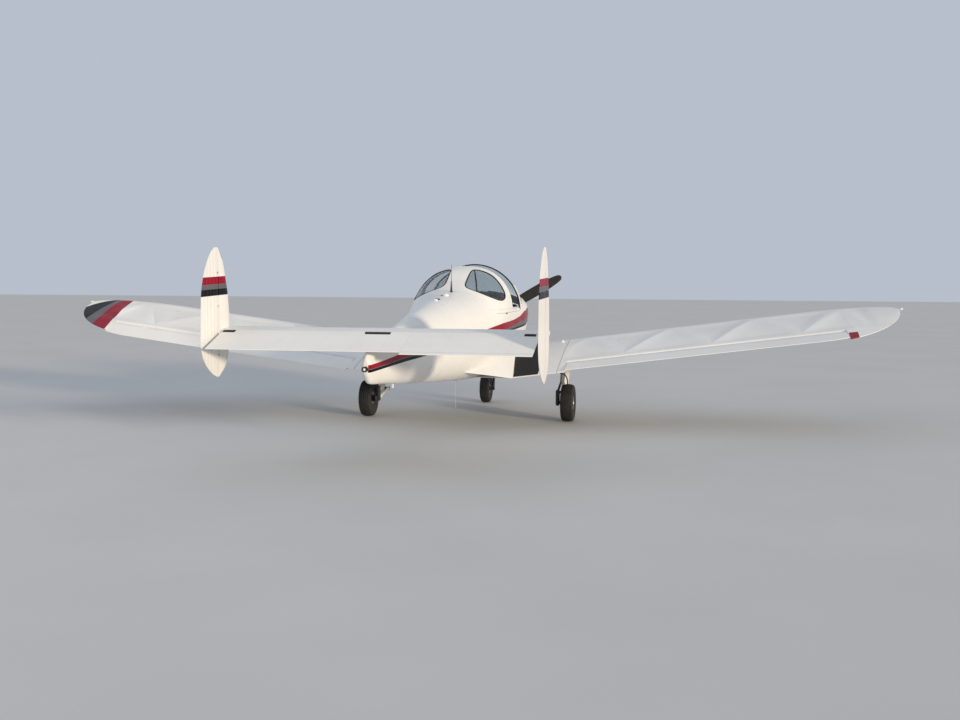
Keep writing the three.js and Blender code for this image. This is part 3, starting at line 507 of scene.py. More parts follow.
class Build:
    """Points and faces of one piece, gathered part by part."""

    def __init__(self):
        self.points = []
        self.faces = []
        self.kinds = []

    def add(self, points, faces, kind=0):
        start = len(self.points)
        self.points.extend(tuple(map(float, p)) for p in points)
        self.faces.extend(tuple(start + k for k in face) for face in faces)
        self.kinds.extend([kind] * len(faces))
        return self

    def loft(self, rings, kind=0, caps=True):
        n = len(rings[0])
        points = [p for ring in rings for p in ring]
        faces = []
        for i in range(len(rings) - 1):
            for k in range(n):
                a, b = i * n + k, i * n + (k + 1) % n
                faces.append((a, b, b + n, a + n))
        if caps:
            faces.append(tuple(range(n))[::-1])
            faces.append(tuple(range(len(points) - n, len(points))))
        return self.add(points, faces, kind)

    def rod(self, a, b, radius, end_radius=None, sides=24, kind=0):
        a, b = Vector(a), Vector(b)
        end_radius = radius if end_radius is None else end_radius
        axis = (b - a).normalized()
        one = axis.orthogonal().normalized()
        two = axis.cross(one)
        ends = ((a, radius), (b, end_radius))
        return self.loft([circle(at, size, one, two, sides) for at, size in ends], kind)

    def tube(self, path, radius, sides=12, kind=0, closed=False):
        """A round tube through points; radius is one number or one for each point."""
        path = [Vector(p) for p in path]
        n = len(path)
        radii = radius if isinstance(radius, (list, tuple)) else [radius] * n
        rings = []
        side = None
        for k, point in enumerate(path):
            ahead = path[(k + 1) % n] if closed or k + 1 < n else point
            behind = path[k - 1] if closed or k > 0 else point
            axis = (ahead - behind).normalized()
            side = axis.orthogonal() if side is None else side - axis * side.dot(axis)
            side.normalize()
            rings.append(circle(point, radii[k], side, axis.cross(side), sides))
        if not closed:
            return self.loft(rings, kind)
        last = rings[-1]
        best = min(range(sides), key=lambda s: (Vector(rings[0][s]) - Vector(last[0])).length)
        rings.append(rings[0][best:] + rings[0][:best])
        return self.loft(rings, kind, caps=False)

    def turned(self, profile, centre, axis, sides=64, kind=0, closed=True):
        """A profile of (radius, height) points turned about a line."""
        profile = [*profile, profile[0]] if closed else profile
        axis = Vector(axis).normalized()
        one = axis.orthogonal().normalized()
        two = axis.cross(one)
        centre = Vector(centre)
        rings = []
        for k in range(sides):
            t = 2 * pi * k / sides
            out = cos(t) * one + sin(t) * two
            rings.append([centre + axis * h + out * r for r, h in profile])
        rings.append(rings[0])
        return self.loft(rings, kind, caps=False)

    def block(self, x0, x1, y0, y1, z0, z1):
        corners = ((x0, y0), (x1, y0), (x1, y1), (x0, y1))
        return self.loft([[(x, y, z) for x, y in corners] for z in (z0, z1)])

    def soft(self, x0, x1, y0, y1, z0, z1, r):
        """A block with all its edges rounded."""
        turns = (1.45, 1.0, 0.5, 0)
        levels = [(z0 + r * (1 - sin(t)), r * cos(t)) for t in turns]
        levels += [(z1 - r * (1 - sin(t)), r * cos(t)) for t in turns[::-1]]
        around = list(corner_turns(x0, x1, y0, y1, r, 4))
        return self.loft([
            [(x + size * cos(a), y + size * sin(a), z) for x, y, a in around] for z, size in levels
        ])

    def shell(self, outer, inner, kind=0, inner_kind=0):
        """A wall between two grids of points."""
        rows, n = len(outer), len(outer[0])
        half = rows * n
        faces = []
        for i in range(rows - 1):
            for a in range(i * n, i * n + n - 1):
                b = a + 1
                faces.append((a, b, b + n, a + n))
                faces.append((half + a + n, half + b + n, half + b, half + a))
        kinds = [kind, inner_kind] * (len(faces) // 2)
        for first in (0, half - n):
            faces += [(a, half + a, half + a + 1, a + 1) for a in range(first, first + n - 1)]
        for i in range(rows - 1):
            faces += [(a, a + n, half + a + n, half + a) for a in (i * n, i * n + n - 1)]
        self.add([p for row in outer + inner for p in row], faces)
        self.kinds = kinds + [kind] * (len(faces) - len(kinds))
        return self

    def tool(self, key="body"):
        """A loose form that carve takes up, with the material of the faces that it leaves."""
        return self.make("tool", (key,), body=None)

    def make(self, name, materials, body="airframe", node=None, sharp=38, weld=0.02, slot=None):
        mesh = bpy.data.meshes.new(name)
        mesh.from_pydata([place(p) for p in self.points], [], self.faces)
        for key in materials:
            mesh.materials.append(mats[key])
        mesh.polygons.foreach_set("material_index", self.kinds)
        made = bpy.data.objects.new(name, mesh)
        scene.collection.objects.link(made)
        tidy(made, weld / 1000, sharp)
        if body:
            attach(made, body)
        if node:
            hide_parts(node)
        return made


def shade(mesh, sharp):
    """Shades all but the sharp edges smooth."""
    mesh.shade_smooth()
    mesh.set_sharp_from_angle(angle=radians(sharp))


def evaluated(made):
    """Turns a piece's modifiers into its mesh."""
    graph = bpy.context.evaluated_depsgraph_get()
    mesh = bpy.data.meshes.new_from_object(made.evaluated_get(graph))
    made.modifiers.clear()
    made.data = mesh


def tidy(made, weld, sharp):
    """Joins points that lie together, turns faces outward and shades the mesh."""
    mesh = made.data
    edit = bmesh.new()
    edit.from_mesh(mesh)
    if weld:
        bmesh.ops.remove_doubles(edit, verts=edit.verts, dist=weld)
    bmesh.ops.recalc_face_normals(edit, faces=edit.faces)
    if edit.calc_volume(signed=True) < 0:
        bmesh.ops.reverse_faces(edit, faces=edit.faces)
    edit.to_mesh(mesh)
    edit.free()
    shade(mesh, sharp)


def carve(made, tools, operation="DIFFERENCE", sharp=38):
    """Cuts the tools, which are removed, out of a piece."""
    for tool in tools:
        step = made.modifiers.new("cut", "BOOLEAN")
        step.operation = operation
        step.object = tool
        step.solver = "EXACT"
        evaluated(made)
        bpy.data.objects.remove(tool)
    shade(made.data, sharp)


class Curve:
    """Smooth columns through a table's rows, whose first column is the place."""

    def __init__(self, rows):
        table = np.array(sorted(rows), float)
        self.x, self.v = table[:, 0], table[:, 1:]
        step = np.diff(self.x)[:, None]
        rise = np.diff(self.v, axis=0) / step
        before, after = 2 * step[1:] + step[:-1], step[1:] + 2 * step[:-1]
        same = rise[:-1] * rise[1:] > 0
        a, b = np.where(same, rise[:-1], 1), np.where(same, rise[1:], 1)
        mean = (before + after) * (a * b) / (before * b + after * a)
        self.m = np.vstack([rise[:1], np.where(same, mean, 0), rise[-1:]])

    def at(self, x):
        x = min(max(x, self.x[0]), self.x[-1])
        i = min(max(int(np.searchsorted(self.x, x)) - 1, 0), len(self.x) - 2)
        h = self.x[i + 1] - self.x[i]
        t = (x - self.x[i]) / h
        a, b = 2 * t**3 - 3 * t**2 + 1, t**3 - 2 * t**2 + t
        c, d = -2 * t**3 + 3 * t**2, t**3 - t**2
        return a * self.v[i] + b * h * self.m[i] + c * self.v[i + 1] + d * h * self.m[i + 1]


def steps(start, end, size):
    return np.linspace(start, end, max(int(round(abs(end - start) / size)), 1) + 1)


# Fuselage sections: y, half width, bottom, top, height of the widest line, and roundness above
# and below it.
cabin_and_tail = Curve([
    (-3900, 34, 795, 958, 862, 2.0, 2.0),
    (-3820, 48, 742, 1003, 868, 2.0, 2.1),
    (-3500, 95, 712, 1082, 880, 1.9, 2.3),
    (-2800, 198, 647, 1165, 905, 1.85, 2.4),
    (-2080, 282, 590, 1265, 945, 1.85, 2.5),
    (-1400, 382, 541, 1350, 990, 1.95, 2.6),
    (-825, 468, 502, 1425, 1055, 2.05, 2.6),
    (-580, 508, 487, 1512, 1095, 2.2, 2.6),
    (-300, 527, 474, 1640, 1130, 2.3, 2.6),
    (-100, 529, 465, 1680, 1150, 2.35, 2.6),
])
cockpit_and_cowl = Curve([
    (-100, 529, 465, 1262, 1150, 3.6, 2.6),
    (250, 533, 460, 1266, 1150, 3.6, 2.6),
    (600, 530, 462, 1290, 1145, 3.4, 2.6),
    (850, 520, 475, 1362, 1140, 3.0, 2.5),
    (1150, 488, 510, 1397, 1138, 2.62, 2.4),
    (1500, 445, 567, 1391, 1132, 2.45, 2.3),
    (1850, 399, 650, 1375, 1124, 2.28, 2.2),
    (2060, 345, 765, 1345, 1120, 2.2, 2.1),
    (2150, 268, 880, 1312, 1118, 2.1, 2.1),
])
canopy_front = Curve([
    (400, 520, 900, 1701, 1200, 1.95, 2),
    (450, 520, 900, 1702, 1200, 1.95, 2),
    (600, 512, 900, 1664, 1200, 2.0, 2),
    (780, 496, 900, 1570, 1200, 2.1, 2),
    (930, 470, 900, 1460, 1200, 2.2, 2),
    (1060, 420, 900, 1330, 1180, 2.2, 2),
])


def angle_at(curve, y, z, grow=0):
    """The angle round a section, from its right side, at height z."""
    _, low, high, wide, up, down = curve.at(y)
    if z >= wide:
        return asin(min(((z - wide) / (high + grow - wide)) ** (up / 2), 1))
    return -asin(min(((wide - z) / (wide - low + grow)) ** (down / 2), 1))


def section(curve, y, grow, start, end, n):
    """n points evenly along a section between two angles; a full turn repeats no point."""
    half, low, high, wide, up, down = curve.at(y)
    t = np.linspace(start, end, 900)
    c, s = np.cos(t), np.sin(t)
    x = (half + grow) * np.sign(c) * np.abs(c) ** np.where(s > 0, 2 / up, 2 / down)
    reach = np.where(s > 0, high + grow - wide, wide - low + grow)
    z = wide + reach * np.sign(s) * np.abs(s) ** np.where(s > 0, 2 / up, 2 / down)
    length = np.concatenate([[0], np.cumsum(np.hypot(np.diff(x), np.diff(z)))])
    full = abs(end - start) > 2 * pi - 1e-6
    want = np.linspace(0, length[-1], n + 1 if full else n)
    want = want[:-1] if full else want
    return [(a, y, b) for a, b in zip(np.interp(want, length, x), np.interp(want, length, z))]


def whole(curve, y, grow=0, n=128):
    """A whole section, as a closed ring."""
    return section(curve, y, grow, -pi / 2, 1.5 * pi, n)


def span(curve, y, part, low, high, grow):
    """Start and end angles of one part of a section."""
    if part == "belly":
        edge = angle_at(curve, y, high, grow)
        return -pi - edge, edge
    if part == "deck":
        edge = angle_at(curve, y, low, grow)
        return edge, pi - edge
    a, b = angle_at(curve, y, low, grow), angle_at(curve, y, high, grow)
    return (a, b) if part == "right" else (pi - b, pi - a)


def wall_of(runs, part, thickness, low=None, high=None, n=96, step=30, grow=0, kinds=(0, 1)):
    """The skin of one part of the body over runs of (curve, y0, y1), with its thickness inward."""
    outer, inner = [], []
    for curve, y0, y1 in runs:
        for y in steps(y0, y1, step):
            depth = thickness(y) if callable(thickness) else thickness
            for grid, size in ((outer, grow), (inner, grow - depth)):
                angles = span(curve, y, part, low, high, size)
                grid.append(section(curve, y, size, *angles, n))
    return Build().shell(outer, inner, *kinds)


def body_tool(curve, y0, y1, grow, n=96, step=30):
    """The body's whole form between two places, as a tool."""
    return Build().loft([whole(curve, y, grow, n) for y in steps(y0, y1, step)]).tool()


# Tail cone, cabin and cowling

AFT = (cabin_and_tail, REAR_FRAME_Y + 1, HOOP_Y - 0.5)
FORE = (cockpit_and_cowl, HOOP_Y, FIREWALL_Y)
COWL = (cockpit_and_cowl, FIREWALL_Y + 1.5, BOWL_Y)
TAIL_END = -3900
WALL = 16


CONE_SIDES = 96


def cone_ring(y, grow):
    """A ring of the tail cone; the last ones rise at the bottom, up to the tail light."""
    lift = 0.36 * max(1 - (y - TAIL_END) / 90, 0) ** 2
    ring = whole(cabin_and_tail, y, grow, CONE_SIDES)
    return [(x, y, z + max(835 - z, 0) * lift) for x, y, z in ring]


cone = Build()
turns = steps(0, pi / 2, 0.2)
outer = [cone_ring(TAIL_END + 30 * (1 - cos(t)), -21 * (1 - sin(t))) for t in turns]
outer += [cone_ring(y, 0) for y in steps(TAIL_END + 30, REAR_FRAME_Y, 30)[1:]]
inner = [cone_ring(y, -9) for y in steps(REAR_FRAME_Y, TAIL_END + 60, 60)]
cone.loft(outer + inner)
lined = CONE_SIDES * (len(outer) - 1)
cone.kinds[lined:] = [1] * (len(cone.kinds) - lined)
cone.kinds[-2] = 0  # the end cap
cone.make("tail_cone_skin", ("body", "lining"), node="tail_cone")

def skin(wall, name, node, lining="lining"):
    return wall.make(name, ("body", lining), node=node)


skin(wall_of([AFT, FORE], "belly", WALL, high=BELLY_Z), "belly_skin", "cabin_belly")
for name, _ in SIDES:
    side_wall = wall_of([AFT, FORE], name, WALL, BELLY_Z + 1, RAIL_Z, n=64)
    skin(side_wall, "cabin_side_skin_" + name, "cabin_side_" + name)
deck_run = (cockpit_and_cowl, PANEL_Y, FIREWALL_Y)
skin(wall_of([deck_run], "deck", WALL, low=RAIL_Z + 1), "cowl_deck_skin", "cowl_deck")
upper_cowl = wall_of([COWL], "deck", WALL, low=COWL_SPLIT_Z + 1)
skin(upper_cowl, "cowling_upper_skin", "cowling_upper", "engine")
lower_cowl = wall_of([COWL], "belly", WALL, high=COWL_SPLIT_Z)
lower_cowl = skin(lower_cowl, "cowling_lower_skin", "cowling_lower", "engine")
carve(lower_cowl, [Build().rod((0, STEER_Y, 400), (0, STEER_Y, 800), 62, sides=48).tool()])

BOWL_ROUND_Y, BOWL_ROUND = 2132, 18  # where the bowl's front edge starts, and its radius
bowl_rings = [whole(cockpit_and_cowl, y) for y in steps(BOWL_Y + 1.5, BOWL_ROUND_Y, 15)]
for t in (pi / 2 * k / 6 for k in range(1, 7)):
    edge_y = BOWL_ROUND_Y + BOWL_ROUND * sin(t)
    bowl_rings.append(whole(cockpit_and_cowl, edge_y, -BOWL_ROUND * (1 - cos(t))))
bowl = skin(Build().loft(bowl_rings), "nose_bowl_skin", "cowling_nose_bowl", "engine")
hollow = [whole(cockpit_and_cowl, y, -WALL) for y in steps(BOWL_Y - 20, 2134, 15)]
carve(bowl, [Build().loft(hollow).tool("engine"), *(
    Build().rod((x, 2080, PROP_Z + up), (x, 2200, PROP_Z + up), radius, sides=64).tool()
    for x, up, radius in ((0, 0, 64), (-150, 70, 58), (150, 70, 58))  # shaft and air inlets
)])


# Cabin top and windows

WINDOW_IN_X = 107
WINDOW_MIDDLE = (-450, 1460)
window_corners = [
    (-298, 1373), (-281, 1471), (-239, 1549), (-214, 1611), (-228, 1660), (-313, 1649),
    (-580, 1542), (-690, 1486), (-733, 1430), (-686, 1366), (-554, 1315), (-402, 1322),
]


def rounded(points, times=3):
    """A closed outline with its corners cut off again and again."""
    for _ in range(times):
        pairs = zip(points, points[1:] + points[:1])
        points = [
            tuple(share * a + (1 - share) * b for a, b in zip(p, q))
            for p, q in pairs for share in (0.75, 0.25)
        ]
    return points


def cabin_x(y, z):
    """Half width of the cabin at y and z, or 0 above it."""
    half, _, high, wide, up, _ = cabin_and_tail.at(y)
    share = (z - wide) / (high - wide)
    return half * (1 - share**up) ** (1 / up) if share < 1 else 0.0


def cabin_z(y, x):
    """Height of the cabin's top at y and x."""
    half, _, high, wide, up, _ = cabin_and_tail.at(y)
    return wide + (high - wide) * (1 - (abs(x) / half) ** up) ** (1 / up)


def grown(points, middle, grow):
    """Flat points moved away from their middle."""
    moved = []
    for y, z in points:
        away = (y - middle[0], z - middle[1])
        share = 1 + grow / hypot(*away)
        moved.append((middle[0] + away[0] * share, middle[1] + away[1] * share))
    return moved


def window_loop(side, grow):
    """The window's edge on the cabin top."""
    moved = grown(window_corners, WINDOW_MIDDLE, grow)
    path = []
    edge = WINDOW_IN_X - grow
    for y, z in rounded(moved, 3):
        x = cabin_x(y, z)
        path.append((edge, y, cabin_z(y, edge)) if x < edge else (x, y, z))
    even = np.array(resample(path, 96))
    for turn in range(9 + 26):
        # smooth all round at first, then only the upper end near the middle
        pull = 1 if turn < 9 else np.clip((300 - even[:, :1]) / 120, 0, 1)
        between = 0.5 * np.roll(even, 1, 0) + 0.5 * np.roll(even, -1, 0)
        even = even + (between - even) * 0.5 * pull
    return [(side * x, y, z) for x, y, z in even]


def resample(path, n):
    """n points evenly along a closed path."""
    loop = np.array(list(path) + [path[0]], float)
    length = np.concatenate([[0], np.cumsum(np.linalg.norm(np.diff(loop, axis=0), axis=1))])
    want = np.linspace(0, length[-1], n + 1)[:-1]
    return [tuple(np.interp(want, length, loop[:, k])[j] for k in range(3)) for j in range(n)]


def window_tool(side, grow):
    """A plug through the cabin top in the window's outline."""
    loop = [Vector(p) for p in window_loop(side, grow)]
    centre = sum(loop, Vector()) / len(loop)
    normal = Vector()
    for k, p in enumerate(loop):
        normal += (p - centre).cross(loop[(k + 1) % len(loop)] - centre)
    normal.normalize()
    rings = [[p + normal * d for p in loop] for d in (-90, 90)]
    plug = Build().loft(rings, caps=False)
    for ring in rings:
        faces = [(0, k + 1, (k + 1) % len(ring) + 1) for k in range(len(ring))]
        plug.add([sum(ring, Vector()) / len(ring), *ring], faces)
    return plug.tool()


hoop_back = HOOP_Y - 29  # the deck is thicker in front of this, as the cabin's hoop
spans = ((REAR_FRAME_Y + 1, hoop_back - 1), (hoop_back + 1, HOOP_Y - 0.5))
deck = wall_of(
    [(cabin_and_tail, *ends) for ends in spans],
    "deck", lambda y: 12 if y < hoop_back else 34, low=RAIL_Z + 1, n=160, step=14,
)
deck = skin(deck, "turtledeck_skin", "turtledeck")
carve(deck, [window_tool(s, 0) for _, s in SIDES])
PLAIN = (0, 0)
for name, s in SIDES:
    run = (cabin_and_tail, -780, -180)
    pane = wall_of([run], "deck", 5, low=RAIL_Z + 1, n=120, step=16, grow=-3, kinds=PLAIN)
    pane = pane.make("rear_pane_" + name, ("smoke",), node="rear_window_" + name, slot="window")
    carve(pane, [window_tool(s, -0.6)], "INTERSECT")
    Build().tube(window_loop(s, -1), 6.5, 10, closed=True).make("window_seal_" + name, ("seal",))

CANOPY_LOW_Z = 1168
run = (canopy_front, SCREEN_Y + 15, 1058)
screen = wall_of([run], "deck", 6, low=CANOPY_LOW_Z, step=14, n=128, kinds=PLAIN)
screen = screen.make("windscreen_pane", ("glass",), node="windscreen", slot="window")
carve(screen, [body_tool(cockpit_and_cowl, 380, 1120, 1)])
run = (canopy_front, SCREEN_Y - 14, SCREEN_Y + 14)
band = wall_of([run], "deck", 14, low=CANOPY_LOW_Z, n=160, step=7, grow=5, kinds=PLAIN)
band.make("windscreen_bow", ("frame",), node="windscreen_frame")
for name, _ in SIDES:
    strip = wall_of([run], name, 11, 1215, 1470, n=48, step=7, grow=16.5, kinds=PLAIN)
    strip.make("bow_cover_" + name, ("body",))
path = [(-6, SCREEN_Y + 4, 1676), (-3, 500, 1560), (0, 604, 1296)]
Build().tube(path, 9, 16).make("windscreen_tube", ("frame",))
run = (cockpit_and_cowl, PANEL_Y + 2, 1040)
glare = wall_of([run], "deck", 3, low=RAIL_Z + 1, n=128, grow=3.5, kinds=PLAIN)
glare = glare.make("glare_shield", ("panel",))
carve(glare, [body_tool(canopy_front, 400, 1050, -10, 128, 25)], "INTERSECT")


# Wing


def camber(c):
    """Height of the wing section's middle line at a share of the chord."""
    m, gain = 0.2025, 31.914
    if c > m:
        return gain * m**3 / 6 * (1 - c)
    return gain / 6 * (c**3 - 3 * m * c**2 + m**2 * (3 - m) * c)


WING_DEPTH = 0.127  # as a share of the chord


def half_depth(c):
    """Half the wing section's depth at a share of the chord."""
    return 5 * WING_DEPTH * (
        0.2969 * sqrt(c) - 0.126 * c - 0.3516 * c**2 + 0.2843 * c**3 - 0.1036 * c**4
    )


LEAD_Y = TRAIL_Y + CHORD * cos(INCIDENCE)


def chord_z(y):
    return TRAIL_Z + (y - TRAIL_Y) * tan(INCIDENCE)


def wing_z(y, sign):
    """Height of the flat middle's upper (1) or lower (-1) face."""
    c = min(max((LEAD_Y - y) / (LEAD_Y - TRAIL_Y), 0), 1)
    return chord_z(y) + CHORD * (camber(c) + sign * half_depth(c)) + sign * TRAIL_EDGE / 2 * c


def wing_outline():
    """Outline from the leading edge over the top to the trailing edge, and back below."""
    n = 44
    shares = [(1 - cos(pi * k / n)) / 2 for k in range(1, n + 1)]
    shares = [0.35 * s + 0.65 * s**1.15 for s in shares]
    ys = [LEAD_Y + c * (TRAIL_Y - LEAD_Y) for c in shares]
    upper, lower = ([(y, wing_z(y, sign)) for y in ys] for sign in (1, -1))
    return [(LEAD_Y, chord_z(LEAD_Y)), *upper, *lower[::-1]]


def panel_along(x, z):
    """How far along the outer panel a point of the flat middle's height z stands at x."""
    return (x - BREAK_X + (z - TRAIL_Z) * sin(DIHEDRAL)) / cos(DIHEDRAL)


def panel_point(side, along, y, z):
    """A point of the outer panel, which leans up from the break."""
    lift = z - TRAIL_Z
    x = BREAK_X + along * cos(DIHEDRAL) - lift * sin(DIHEDRAL)
    return (side * x, y, TRAIL_Z + along * sin(DIHEDRAL) + lift * cos(DIHEDRAL))


outline = wing_outline()
tip_top = wing_z(TIP_Y, 1)
HINGE_Y = TRAIL_Y + AILERON_CHORD
HINGE_Z = (wing_z(HINGE_Y, 1) + wing_z(HINGE_Y, -1)) / 2
AILERON_NOSE = (wing_z(HINGE_Y, 1) - wing_z(HINGE_Y, -1)) / 2

RIB_START = 1155  # a slanting rib meets the rear spar here
RIB_PITCH = 905
SPAR_BACK_Y = -330
SPAR_FRONT_Y = 500
SAG = 19.0
TIP_RIBS = ((3029, 0.66), (3592, -0.19), (3693, 0.0))  # place along at y = -212, and its lean


def sag(along, y):
    """How far the cloth dips between the ribs."""
    v = (y - SPAR_BACK_Y) / (SPAR_FRONT_Y - SPAR_BACK_Y)
    if v <= 0 or v >= 1 or along < 480:
        return 0.0
    ribs = [start + lean * (y + 212) for start, lean in TIP_RIBS]
    fade = min(max((along - 480) / 120, 0), 1) * min(v, 1 - v, 0.12) / 0.12
    for inner, outer in zip(ribs, ribs[1:]):
        if inner <= along < outer:
            share = (along - inner) / (outer - inner)
            return 0.8 * SAG * 4 * share * (1 - share) * fade * min((outer - inner) / 300, 1)
    if along >= ribs[-1]:
        return 0.0
    phase = ((along - RIB_START) / RIB_PITCH) % 1.0
    first, second = v / 2, 1 - v / 2
    if first <= phase <= second:
        width = second - first
        share = (phase - first) / max(width, 1e-6)
    else:
        width = 1 - (second - first)
        share = ((phase - second) % 1.0) / max(width, 1e-6)
    lift = SAG * 4 * share * (1 - share) * width * fade
    return lift * min(max((ribs[0] - along) / 200, 0), 1) if along > ribs[0] - 200 else lift


COVE_Y = HINGE_Y + AILERON_NOSE + RUN_GAP


def in_cove(limit, k):
    """Where a point behind the limit goes when the wing ends at the aileron's cove."""
    top, low = wing_z(limit, 1), wing_z(limit, -1)
    half = (len(outline) - 1) / 2
    reach = min(abs(k - half) / (sum(y < limit for y, _ in outline) / 2), 1)
    middle = (top + low) / 2
    return limit, middle + (top - middle) * reach * (1 if k <= half else -1)


def tip_size(along):
    """The wing's size at a place along it, as a share of its full size."""
    share = (along - TIP_START) / TIP_SPAN
    return max(sqrt(max(1 - share**2, 0)), 0.07) if share > 0 else 1


def wing_ring(side, along, upright=None, cove=False):
    ring = []
    size = tip_size(along)
    half = len(outline) // 2
    limit = TIP_Y + (COVE_Y - TIP_Y) / size
    for k, (y, z) in enumerate(outline):
        if cove and y < limit:
            y, z = in_cove(limit, k)
        y2, z2 = (TIP_Y + (y - TIP_Y) * size, tip_top + (z - tip_top) * size)
        place_along = along
        if upright is not None:
            place_along = panel_along(upright, z2)
        dip = sag(place_along, y2) if along > 0 else 0
        z2 += -dip if k <= half else 0.6 * dip
        ring.append(panel_point(side, place_along, y2, z2))
    return ring


def middle_ring(side, x):
    """A ring of the middle wing: flat up to the break, then leaning."""
    if x <= BREAK_X:
        return [(side * x, y, z) for y, z in outline]
    return [panel_point(side, panel_along(x, z), y, z) for y, z in outline]


# The fairing behind the wing's root meets the wing's top between these places.
FILLET_Y, FILLET_FRONT_Y = -330, 190
FILLET_Z = wing_z(FILLET_Y, 1) - 4
# x, back edge, its height, and height above FILLET_Y
fillet_curve = Curve([
    (230, -1590, 658, 850),
    (360, -1300, 615, 800),
    (490, -1012, 571, 740),
    (620, TRAIL_Y - 22, TRAIL_Z, FILLET_Z),
])


def root_fillet(side):
    """The fairing that runs from the wing's root back along the tail cone."""
    rings = []
    for x in steps(200, 620, 14):
        back_y, back_z, top_z = fillet_curve.at(x)
        if x < 230:
            past = 230 - x
            back_y, back_z, top_z = -1590 - past * 2.2, 658 + past * 0.33, 850 + past * 0.4
        low_z = wing_z(FILLET_Y, -1) + 3
        shares = [k / 20 for k in range(21)]
        back = [(t, back_y + (FILLET_Y - back_y) * t) for t in shares]
        ring = [(y, back_z + TRAIL_EDGE / 2 + (top_z - back_z) * t) for t, y in back]
        for t in (k / 15 for k in range(1, 16)):
            y = FILLET_Y + (FILLET_FRONT_Y - FILLET_Y) * t
            ease = (1 - t) ** 2 * (1 + 2 * t)
            ring.append((y, wing_z(y, 1) - 4 + (top_z - FILLET_Z) * ease))
        ring += [(FILLET_FRONT_Y, wing_z(FILLET_FRONT_Y, -1) + 6), (FILLET_Y, low_z)]
        for t, y in back[-2::-1]:
            ring.append((y, back_z - TRAIL_EDGE / 2 + (low_z - back_z) * t))
        rings.append([(side * x, y, z) for y, z in ring])
    return Build().loft(rings).tool()


xs = [300, 420, 560, BREAK_X, *steps(BREAK_X, JOINT_X, 60)[1:]]
root = Build()
root.loft([middle_ring(-1, x) for x in xs[::-1]] + [middle_ring(1, x) for x in xs])
root = root.make("wing_root_skin", ("root", "root"), node="wing_centre_section")
carve(root, [root_fillet(s) for _, s in SIDES], "UNION")
carve(root, [
    body_tool(cabin_and_tail, -2400, HOOP_Y + 1, 0.5),
    body_tool(cockpit_and_cowl, HOOP_Y, 1500, 0.5),
])
Build().block(-620, 620, 190, 320, 605, 720).make("wing_spar", ("metal",))


TIE_DOWN = (1671, 250)  # along the panel, and y
FUEL_CAP = (430, 420)


def outer_wing(name, side):
    rings = [wing_ring(side, 1, upright=JOINT_X + 1)]
    cove_in, cove_out = AILERON_IN - RUN_GAP, AILERON_OUT + RUN_GAP
    rings += [wing_ring(side, a) for a in (500, 525, cove_in - 0.2)]
    rings += [wing_ring(side, a, cove=True) for a in steps(cove_in, cove_out, 22)]
    tip_from = asin((cove_out + 0.2 - TIP_START) / TIP_SPAN)
    turns = steps(tip_from, pi / 2, 0.055)
    rings += [wing_ring(side, TIP_START + TIP_SPAN * sin(t)) for t in turns]
    Build().loft(rings).make("wing_skin_" + name, ("wing",), node="wing_outer_" + name, sharp=24)


def aileron_ring(side, along):
    """A ring of the aileron, tilted as it stands at rest."""
    size = tip_size(along)
    scaled = lambda z: tip_top + (z - tip_top) * size
    edge = TIP_Y + (TRAIL_Y - TIP_Y) * size
    full = TIP_Y + (HINGE_Y - TIP_Y) / size
    top, low = (scaled(wing_z(full, sign)) for sign in (1, -1))
    nose, middle = (top - low) / 2, (top + low) / 2
    turns = (-pi / 2 + pi * k / 16 for k in range(17))
    ring = [(HINGE_Y + nose * cos(t), middle + nose * sin(t)) for t in turns]
    shares = (0.25, 0.5, 0.75, 1)
    faces = ((top, TRAIL_EDGE / 2, shares), (low, -TRAIL_EDGE / 2, shares[::-1]))
    for start, up, order in faces:
        rise = scaled(TRAIL_Z + up) - start
        ring += [(HINGE_Y + (edge - HINGE_Y) * u, start + rise * u) for u in order]
    c, s = cos(side * AILERON_TILT), sin(side * AILERON_TILT)
    points = []
    for y, z in ring:
        back, up = y - HINGE_Y, z - HINGE_Z
        tilted = (HINGE_Y + back * c + up * s, HINGE_Z + up * c - back * s)
        points.append(panel_point(side, along, *tilted))
    return points


def hinge_slab(build, side, along, half, front, back, tall):
    """A block across the aileron's hinge line."""
    corners = ((front, -tall), (front, tall), (-back, tall), (-back, -tall))
    return build.loft([
        [panel_point(side, a, HINGE_Y + y, HINGE_Z + z) for y, z in corners]
        for a in (along - half, along + half)
    ])


def aileron(name, side):
    places = [*steps(AILERON_IN, TIP_START, 90), *steps(TIP_START, AILERON_OUT, 15)[1:]]
    node = "aileron_" + name
    flap = Build().loft([aileron_ring(side, a) for a in places])
    flap = flap.make("aileron_skin_" + name, ("wing",), node, node, sharp=30)
    room = AILERON_NOSE + 30
    carve(flap, [
        hinge_slab(Build(), side, a, 9, room, 16, room).tool() for a in AILERON_HINGES
    ], sharp=30)


for name, side in SIDES:
    outer_wing(name, side)
    aileron(name, side)
    hinge = Build()
    for along in AILERON_HINGES:
        hinge_slab(hinge, side, along, 3, AILERON_NOSE + RUN_GAP + 20, 10, 9)
    pad_x, pad_y, pad_z = panel_point(side, *TIE_DOWN, wing_z(TIE_DOWN[1], -1))
    pad = Build().soft(pad_x - 16, pad_x + 16, pad_y - 16, pad_y + 16, pad_z - 22, pad_z + 12, 5)
    pad.make("tie_down_pad_" + name, ("body",))
    cap_at = panel_point(side, *FUEL_CAP, wing_z(FUEL_CAP[1], 1))
    cap_profile = [
        (0.01, -6), (24, -6), (24, 5), (20, 9), (9, 10), (9, 22), (6, 26), (0.01, 26)
    ]
    cap = Build().turned(cap_profile, cap_at, UP, 32, closed=False)
    cap.make("fuel_cap_" + name, ("body",))
    hinge.make("aileron_brackets_" + name, ("metal",))


# Tail

